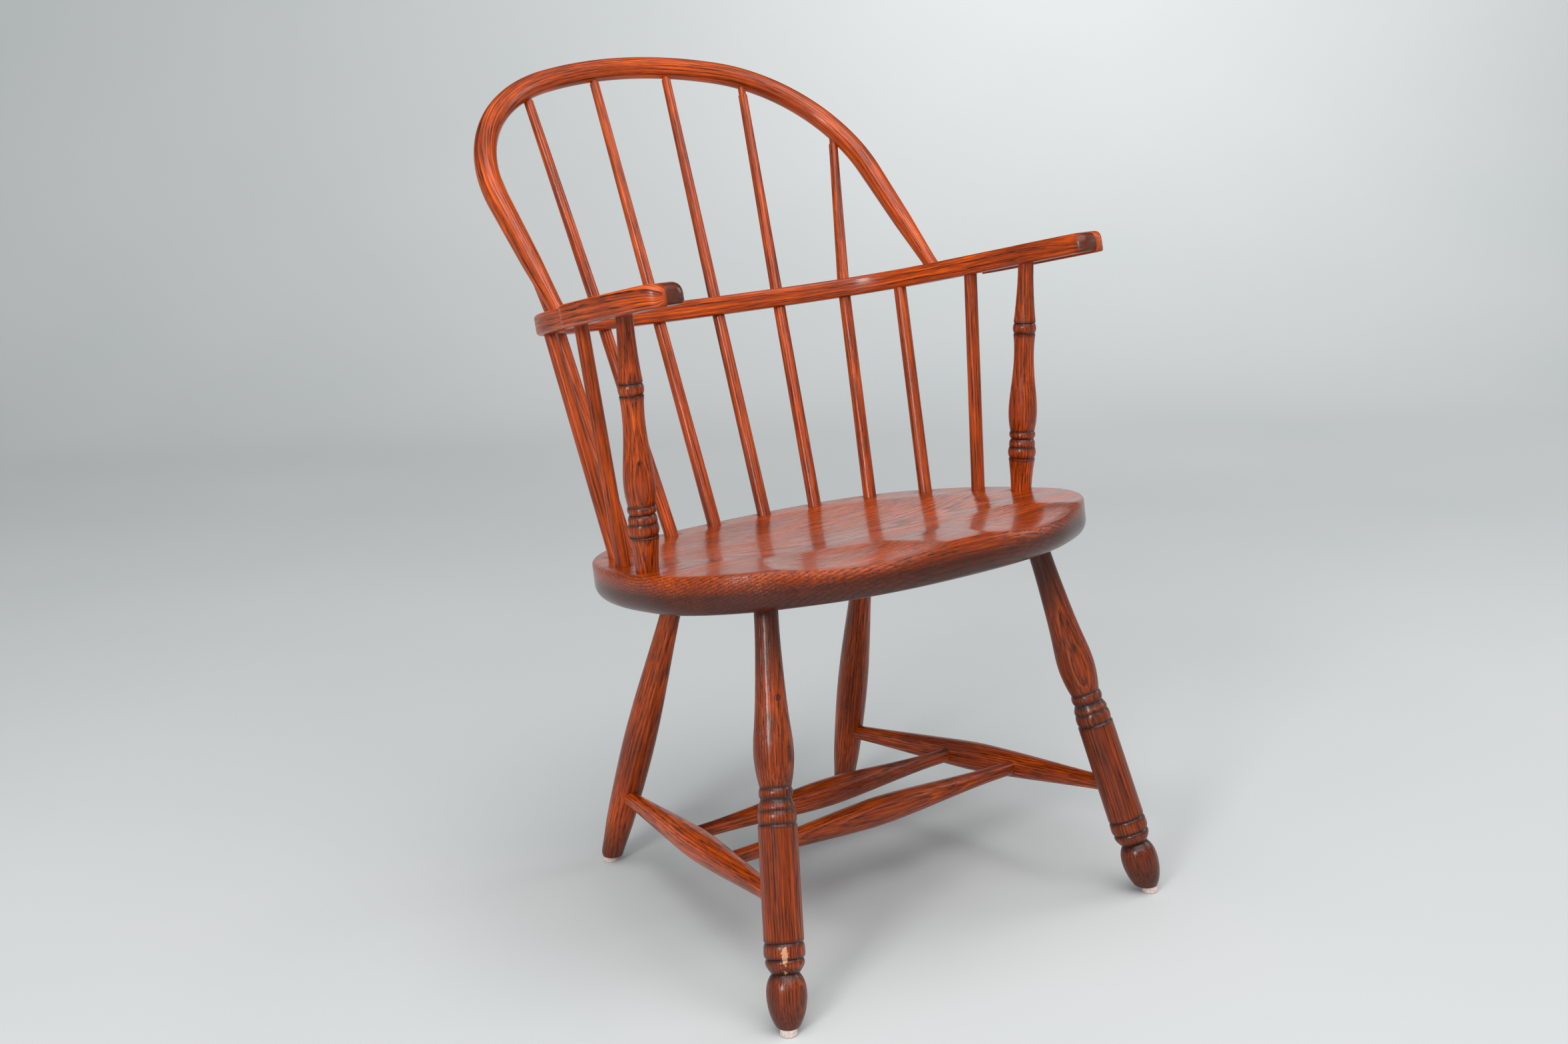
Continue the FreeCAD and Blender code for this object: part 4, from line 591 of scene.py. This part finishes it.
# %% Arm rail's bend
RAIL = {"back": 203.8, "half": 264.0, "back_bend": 545.0, "corner": 150.0, "side": 1300.0,
        "straight": 95.4, "hand": 200.9}
back_centre = Vector((0.0, RAIL["back"] - RAIL["back_bend"]))
side_centre = Vector((RAIL["half"] - RAIL["side"], -RAIL["straight"]))
span = side_centre - back_centre
reach_back = RAIL["back_bend"] - RAIL["corner"]
reach_side = RAIL["side"] - RAIL["corner"]
along = (span.length ** 2 + reach_back ** 2 - reach_side ** 2) / (2.0 * span.length)
aside = math.sqrt(reach_back ** 2 - along ** 2)
across = Vector((-span.y, span.x)).normalized()
crossings = [back_centre + span.normalized() * along + across * aside * k for k in (1, -1)]
corner_centre = max(crossings, key=lambda c: c.x)
back_way = (corner_centre - back_centre).normalized()
side_way = (corner_centre - side_centre).normalized()
back_angle = math.atan2(back_way.y, back_way.x)
side_angle = math.atan2(side_way.y, side_way.x)
half_parts = [(RAIL["hand"] - RAIL["straight"], None), (RAIL["side"] * side_angle, RAIL["side"]),
              (RAIL["corner"] * (back_angle - side_angle), RAIL["corner"])]
back_part = [(RAIL["back_bend"] * (math.pi - 2.0 * back_angle), RAIL["back_bend"])]
rail_parts = half_parts + back_part + half_parts[::-1]
rail_length = sum(length for length, radius in rail_parts)
rail_back_way = Vector((0, math.cos(RAIL_PITCH), -math.sin(RAIL_PITCH)))
rail_up = Vector((0, math.sin(RAIL_PITCH), math.cos(RAIL_PITCH)))
rail_middle = under_rail(0.0, 0.0) + rail_up * (RAIL_HEIGHT / 2.0)
rail_start = rail_middle + Vector((RAIL["half"], 0, 0)) - rail_back_way * RAIL["hand"]
print("rail length in mm:", round(rail_length))

# %% [markdown]
# ## The worn hands
# The rail is a square stick with eased edges. Years of hands have rounded its front, most of
# all on top, and the rounding fades out along the arm. A bevel of one width can't fade, and
# a sculpted end couldn't be changed by a number. So small functions move the blank's points:
# each says how far the surface has worn away at a distance d from the tip.

# %% Arm rail
EDGE_ROUND = 4.0  # mm, the eased long edges
TOP_ROUND, TOP_DEPTH = 16.0, 8.5  # mm, the worn top of the front
LOW_ROUND, INNER_ROUND = 4.0, 12.0  # mm, its lower edge and the side toward the sitter
RAIL_EASE, BLOCK_EASE = 6.0, 4.0  # mm that the top edges have grown by at the tip
EASE_RUN = 90.0  # mm along which they fade out
HAND_BLOCK = {"width": 22.0, "length": 189.06, "front": 30.0, "front_depth": 18.0, "tail": 24.0,
              "drop": 1.5, "glue": 0.1}


def quarter(run, d, deep=None):
    """How far a rounded end has sunk at the distance d from its tip. run is the rounding's
    length, and deep its depth where that differs."""
    deep = run if deep is None else deep
    return 0.0 if d >= run else deep * (1.0 - math.sqrt(max(0.0, 1.0 - (1.0 - d / run) ** 2)))


def hand_height(d, y, top, bottom):
    """Round the upper and the lower edge of a hand's front."""
    high = top - quarter(TOP_ROUND, d, TOP_DEPTH)
    low = bottom + quarter(LOW_ROUND, d)
    return low + (y - bottom) * (high - low) / (top - bottom)


def ease_corner(dx, dy, d, most):
    """Widen an edge's rounding toward the tip. dx and dy start where the rounding does."""
    t = max(0.0, 1.0 - d / EASE_RUN)
    grown = most * t * t * (3.0 - 2.0 * t)
    share = grown / EDGE_ROUND
    if dx < -1e-4 or dy < -1e-4:
        return 0.0, 0.0
    return dx * share - grown, dy * share - grown


def square_blank(width, height, length, x=0.0, y=0.0):
    """A square stick with its middle at x and y, and eased long edges. An edge at x = 0 is a
    glue line and stays sharp."""
    bm = bmesh.new()
    bmesh.ops.create_cube(bm, size=1.0)
    bmesh.ops.scale(bm, verts=bm.verts, vec=(width, height, length))
    bmesh.ops.translate(bm, verts=bm.verts, vec=(x, y, length / 2.0))
    eased = [e for e in long_edges(bm) if all(abs(v.co.x) > 1.0 for v in e.verts)]
    bmesh.ops.bevel(bm, geom=eased, offset=EDGE_ROUND, segments=5, profile=0.5,
                    affect="EDGES", material=-1)
    return bm


def carve_rail(s, x, y):
    """The rail's ends are rounded at the top and on the inside, and square beside the block."""
    half_w, half_h = RAIL_WIDTH / 2.0, RAIL_HEIGHT / 2.0
    d = min(s, rail_length - s)
    dx, dy = x + half_w - EDGE_ROUND, abs(y) - half_h + EDGE_ROUND
    if d < HAND_BLOCK["length"] - HAND_BLOCK["tail"] and dx < 0.0 and dy > 0.0:
        square = EDGE_ROUND / max(-dx, dy)
        x = -half_w + EDGE_ROUND + dx * square
        y = math.copysign(half_h - EDGE_ROUND + dy * square, y)
    more_x, more_y = ease_corner(x - half_w + EDGE_ROUND, y - half_h + EDGE_ROUND, d, RAIL_EASE)
    x, y = x + more_x, y + more_y
    room = RAIL_WIDTH - quarter(INNER_ROUND, d)
    return -half_w + (x + half_w) * room / RAIL_WIDTH, hand_height(d, y, half_h, -half_h)


bm = square_blank(RAIL_WIDTH, RAIL_HEIGHT, rail_length)
slice_blank(bm, rail_length, near=250.0)
bend(bm, rail_parts, rail_start, rail_back_way, Vector((-1, 0, 0)), carve_rail)
rail_wood = hardwood("stained ash, arm rail", bent_grain, seed=5.1, tone=0.98,
                     length=rail_length * MM, ends=(0.82, 0.013))
rail = piece_from(bm, "bent_arm_rail", rail_wood)
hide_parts("arm_rail")

# %% [markdown]
# ## Hand blocks
# Each hand is made wider by a block glued to the outside of the arm. It could be one piece
# with the rail, but the real one has a glue line, and its grain doesn't match. So it is a
# blank of its own, bent along the arm's side, thinned to nothing at its tail and rounded at
# its front.

# %% Hand blocks
block_parts = [(RAIL["hand"] - RAIL["straight"], None),
               (200.0, RAIL["side"] + RAIL_WIDTH / 2.0 + HAND_BLOCK["glue"])]
block_start = rail_start + Vector((RAIL_WIDTH / 2.0 + HAND_BLOCK["glue"], 0, 0))


def carve_block(s, x, y):
    """A hand block thins out at its tail and is rounded at its front. x is 0 at the glue line."""
    width, tail, top = HAND_BLOCK["width"], HAND_BLOCK["tail"], RAIL_HEIGHT / 2.0
    more_x, more_y = ease_corner(-x - width + EDGE_ROUND, y - top + EDGE_ROUND, s, BLOCK_EASE)
    x, y = x - more_x, y + more_y
    room = width - quarter(HAND_BLOCK["front"], s, HAND_BLOCK["front_depth"])
    inset = tail - width
    run = s - (HAND_BLOCK["length"] - math.sqrt(tail ** 2 - inset ** 2))
    if run > 0.0:
        room = max(0.05, math.sqrt(max(0.0, tail ** 2 - run ** 2)) - inset)
    return x * room / width, hand_height(s, y, top, -top - HAND_BLOCK["drop"])


for side, hand in ((1, "left"), (-1, "right")):
    bm = square_blank(HAND_BLOCK["width"], RAIL_HEIGHT + HAND_BLOCK["drop"], HAND_BLOCK["length"],
                      x=-HAND_BLOCK["width"] / 2.0, y=-HAND_BLOCK["drop"] / 2.0)
    slice_blank(bm, HAND_BLOCK["length"], near=40.0)
    bend(bm, block_parts, block_start, rail_back_way, Vector((-1, 0, 0)), carve_block)
    if side < 0:
        bmesh.ops.scale(bm, verts=bm.verts, vec=(-1, 1, 1))
    block_wood = hardwood("stained ash, %s hand block" % hand, bent_grain, seed=7.7 + side,
                          tone=1.0)
    block = piece_from(bm, "carved_hand_block_" + hand, block_wood)
    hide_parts("hand_block_" + hand)

# %% [markdown]
# ## Feet
# Each leg stands on a small glide of milky plastic, held by one steel nail. The plastic lets
# a little light in, so its edges glow slightly and look soft. White paint of the same colour
# would look like chalk, so some light is scattered under its skin. The nail is bare metal,
# with fine scratches that vary its shine.

# %% Glides and nails
GLIDE_CLOUDS = 0.4  # to the millimetre, so the plastic's paler clouds are 2.5 mm wide
NAIL_SCRATCHES = 0.9  # to the millimetre, coarser than real ones so that the render shows them

plastic, tree = new_finish("milky soft plastic glide")
spot = node(tree, "TexCoord").outputs["Object"]
cloud = node(tree, "TexNoise", {"Vector": spot, "Scale": per_mm(GLIDE_CLOUDS)}).outputs["Fac"]
tint = node(tree, "ValToRGB", {"Fac": cloud}, [(0.35, "#CBB5AC"), (0.7, "#E3D3CC")])
skin = node(tree, "BsdfPrincipled", {"Base Color": tint.outputs["Color"], "Roughness": 0.4,
                                     "Subsurface Weight": 0.2, "Subsurface Scale": 0.002})
node(tree, "OutputMaterial", {"Surface": skin.outputs[0]})
glides = [name for name in nodes if name.startswith("glide_") and name != "glide_nails"]
for name in glides:
    wear(nodes[name], plastic)

steel, tree = new_finish("plain steel nail")
spot = node(tree, "TexCoord").outputs["Object"]
scratch = node(tree, "TexNoise", {"Vector": spot, "Scale": per_mm(NAIL_SCRATCHES)}).outputs["Fac"]
shine = node(tree, "ValToRGB", {"Fac": scratch}, [(0.3, 0.3), (0.7, 0.5)]).outputs["Color"]
skin = node(tree, "BsdfPrincipled", {"Base Color": srgb("#B9B7B2"), "Metallic": 1.0,
                                     "Roughness": shine})
node(tree, "OutputMaterial", {"Surface": skin.outputs[0]})
wear(nodes["glide_nails"], steel)
print("glides finished:", len(glides))

# %% [markdown]
# ## The paper sweep
# A photographer's backdrop is one sheet that is floor in front and wall behind, with a wide
# curve between them. Two flat planes would show the line where they meet. So an edge is
# pulled back to make the floor, spun through a quarter turn, and pulled up to make the wall.

# %% Paper sweep
SWEEP_HALF = 9.0  # metres, half the sheet's width
SWEEP_FRONT, SWEEP_BACK = -6.0, 2.4  # metres, where the floor begins and the curve begins
SWEEP_CURVE, SWEEP_WALL = 1.6, 4.0  # metres, the curve's radius and the wall above it
SWEEP_TURN = math.radians(-35.3)  # so that the wall faces the camera


def pull(bm, edges, vec):
    """Extrude edges and move what is new. Returns the new points and edges."""
    grown = bmesh.ops.extrude_edge_only(bm, edges=edges)["geom"]
    points = [g for g in grown if isinstance(g, bmesh.types.BMVert)]
    bmesh.ops.translate(bm, verts=points, vec=vec)
    return points + [g for g in grown if isinstance(g, bmesh.types.BMEdge)]


bm = bmesh.new()
front = bm.edges.new([bm.verts.new((x, SWEEP_FRONT, 0.0)) for x in (-SWEEP_HALF, SWEEP_HALF)])
rim = pull(bm, [front], (0, SWEEP_BACK - SWEEP_FRONT, 0))
bmesh.ops.spin(bm, geom=rim, cent=(0, SWEEP_BACK, SWEEP_CURVE), axis=(1, 0, 0),
               angle=math.radians(90.0), steps=24)
wall_foot = [e for e in bm.edges
             if all(v.co.y > SWEEP_BACK + SWEEP_CURVE - 0.01 for v in e.verts)]
pull(bm, wall_foot, (0, 0, SWEEP_WALL))
bmesh.ops.rotate(bm, verts=bm.verts, cent=(0, 0, 0), matrix=Matrix.Rotation(SWEEP_TURN, 3, "Z"))
bmesh.ops.recalc_face_normals(bm, faces=bm.faces)
for face in bm.faces:
    face.smooth = True
mesh = bpy.data.meshes.new("paper sweep")
bm.to_mesh(mesh)
bm.free()
sweep = bpy.data.objects.new("paper_sweep", mesh)
bpy.context.scene.collection.objects.link(sweep)

# matt paper, with very faint clouds some 80 cm wide so that it isn't dead flat
PAPER_CLOUDS = 0.0012  # to the millimetre
paper, tree = new_finish("pale grey backdrop paper")
spot = node(tree, "TexCoord").outputs["Object"]
cloud = node(tree, "TexNoise", {"Vector": spot, "Scale": per_mm(PAPER_CLOUDS)}).outputs["Fac"]
tint = node(tree, "ValToRGB", {"Fac": cloud}, [(0.3, "#BEC1C1"), (0.7, "#C4C5C5")])
skin = node(tree, "BsdfPrincipled", {"Base Color": tint.outputs["Color"], "Roughness": 0.75})
node(tree, "OutputMaterial", {"Surface": skin.outputs[0]})
mesh.materials.append(paper)
print("sweep faces:", len(mesh.polygons))

# %% [markdown]
# ## Lamps and sky
# The photograph has soft shadows and one small crisp highlight down each leg, so it was lit
# by a very large soft lamp above and smaller ones at the sides. A sky alone would give no
# direction, and one bright lamp would give hard shadows. Four square lamps and a pale sky
# give both, and the last lamp only lights the wall behind.

# %% Lamps and sky
# place, the point it looks at, side in metres, and power in watts
LAMPS = {"high lamp": ((-0.4, -1.4, 3.8), (0.1, 0.1, 0.4), 4.2, 160.0),
         "left lamp": ((-2.7, -1.5, 1.7), (0.0, 0.0, 0.5), 0.7, 42.0),
         "right lamp": ((2.9, -0.9, 1.9), (0.0, 0.2, 0.5), 1.2, 17.0),
         "wall lamp": ((2.3, 1.5, 2.7), (4.0, 3.4, 1.8), 1.4, 36.0)}
SKY_COLOUR, SKY_STRENGTH = "#E2E8EA", 0.60

for name, (place, target, size, power) in LAMPS.items():
    data = bpy.data.lights.new(name, "AREA")
    data.shape = "SQUARE"
    data.size = size
    data.energy = power
    lamp = bpy.data.objects.new(name, data)
    lamp.location = place
    lamp.rotation_euler = (Vector(target) - Vector(place)).to_track_quat("-Z", "Y").to_euler()
    bpy.context.scene.collection.objects.link(lamp)
world = bpy.data.worlds.new("pale room")
world.use_nodes = True
world.node_tree.nodes["Background"].inputs["Color"].default_value = srgb(SKY_COLOUR)
world.node_tree.nodes["Background"].inputs["Strength"].default_value = SKY_STRENGTH
bpy.context.scene.world = world
print("lamps:", list(LAMPS))
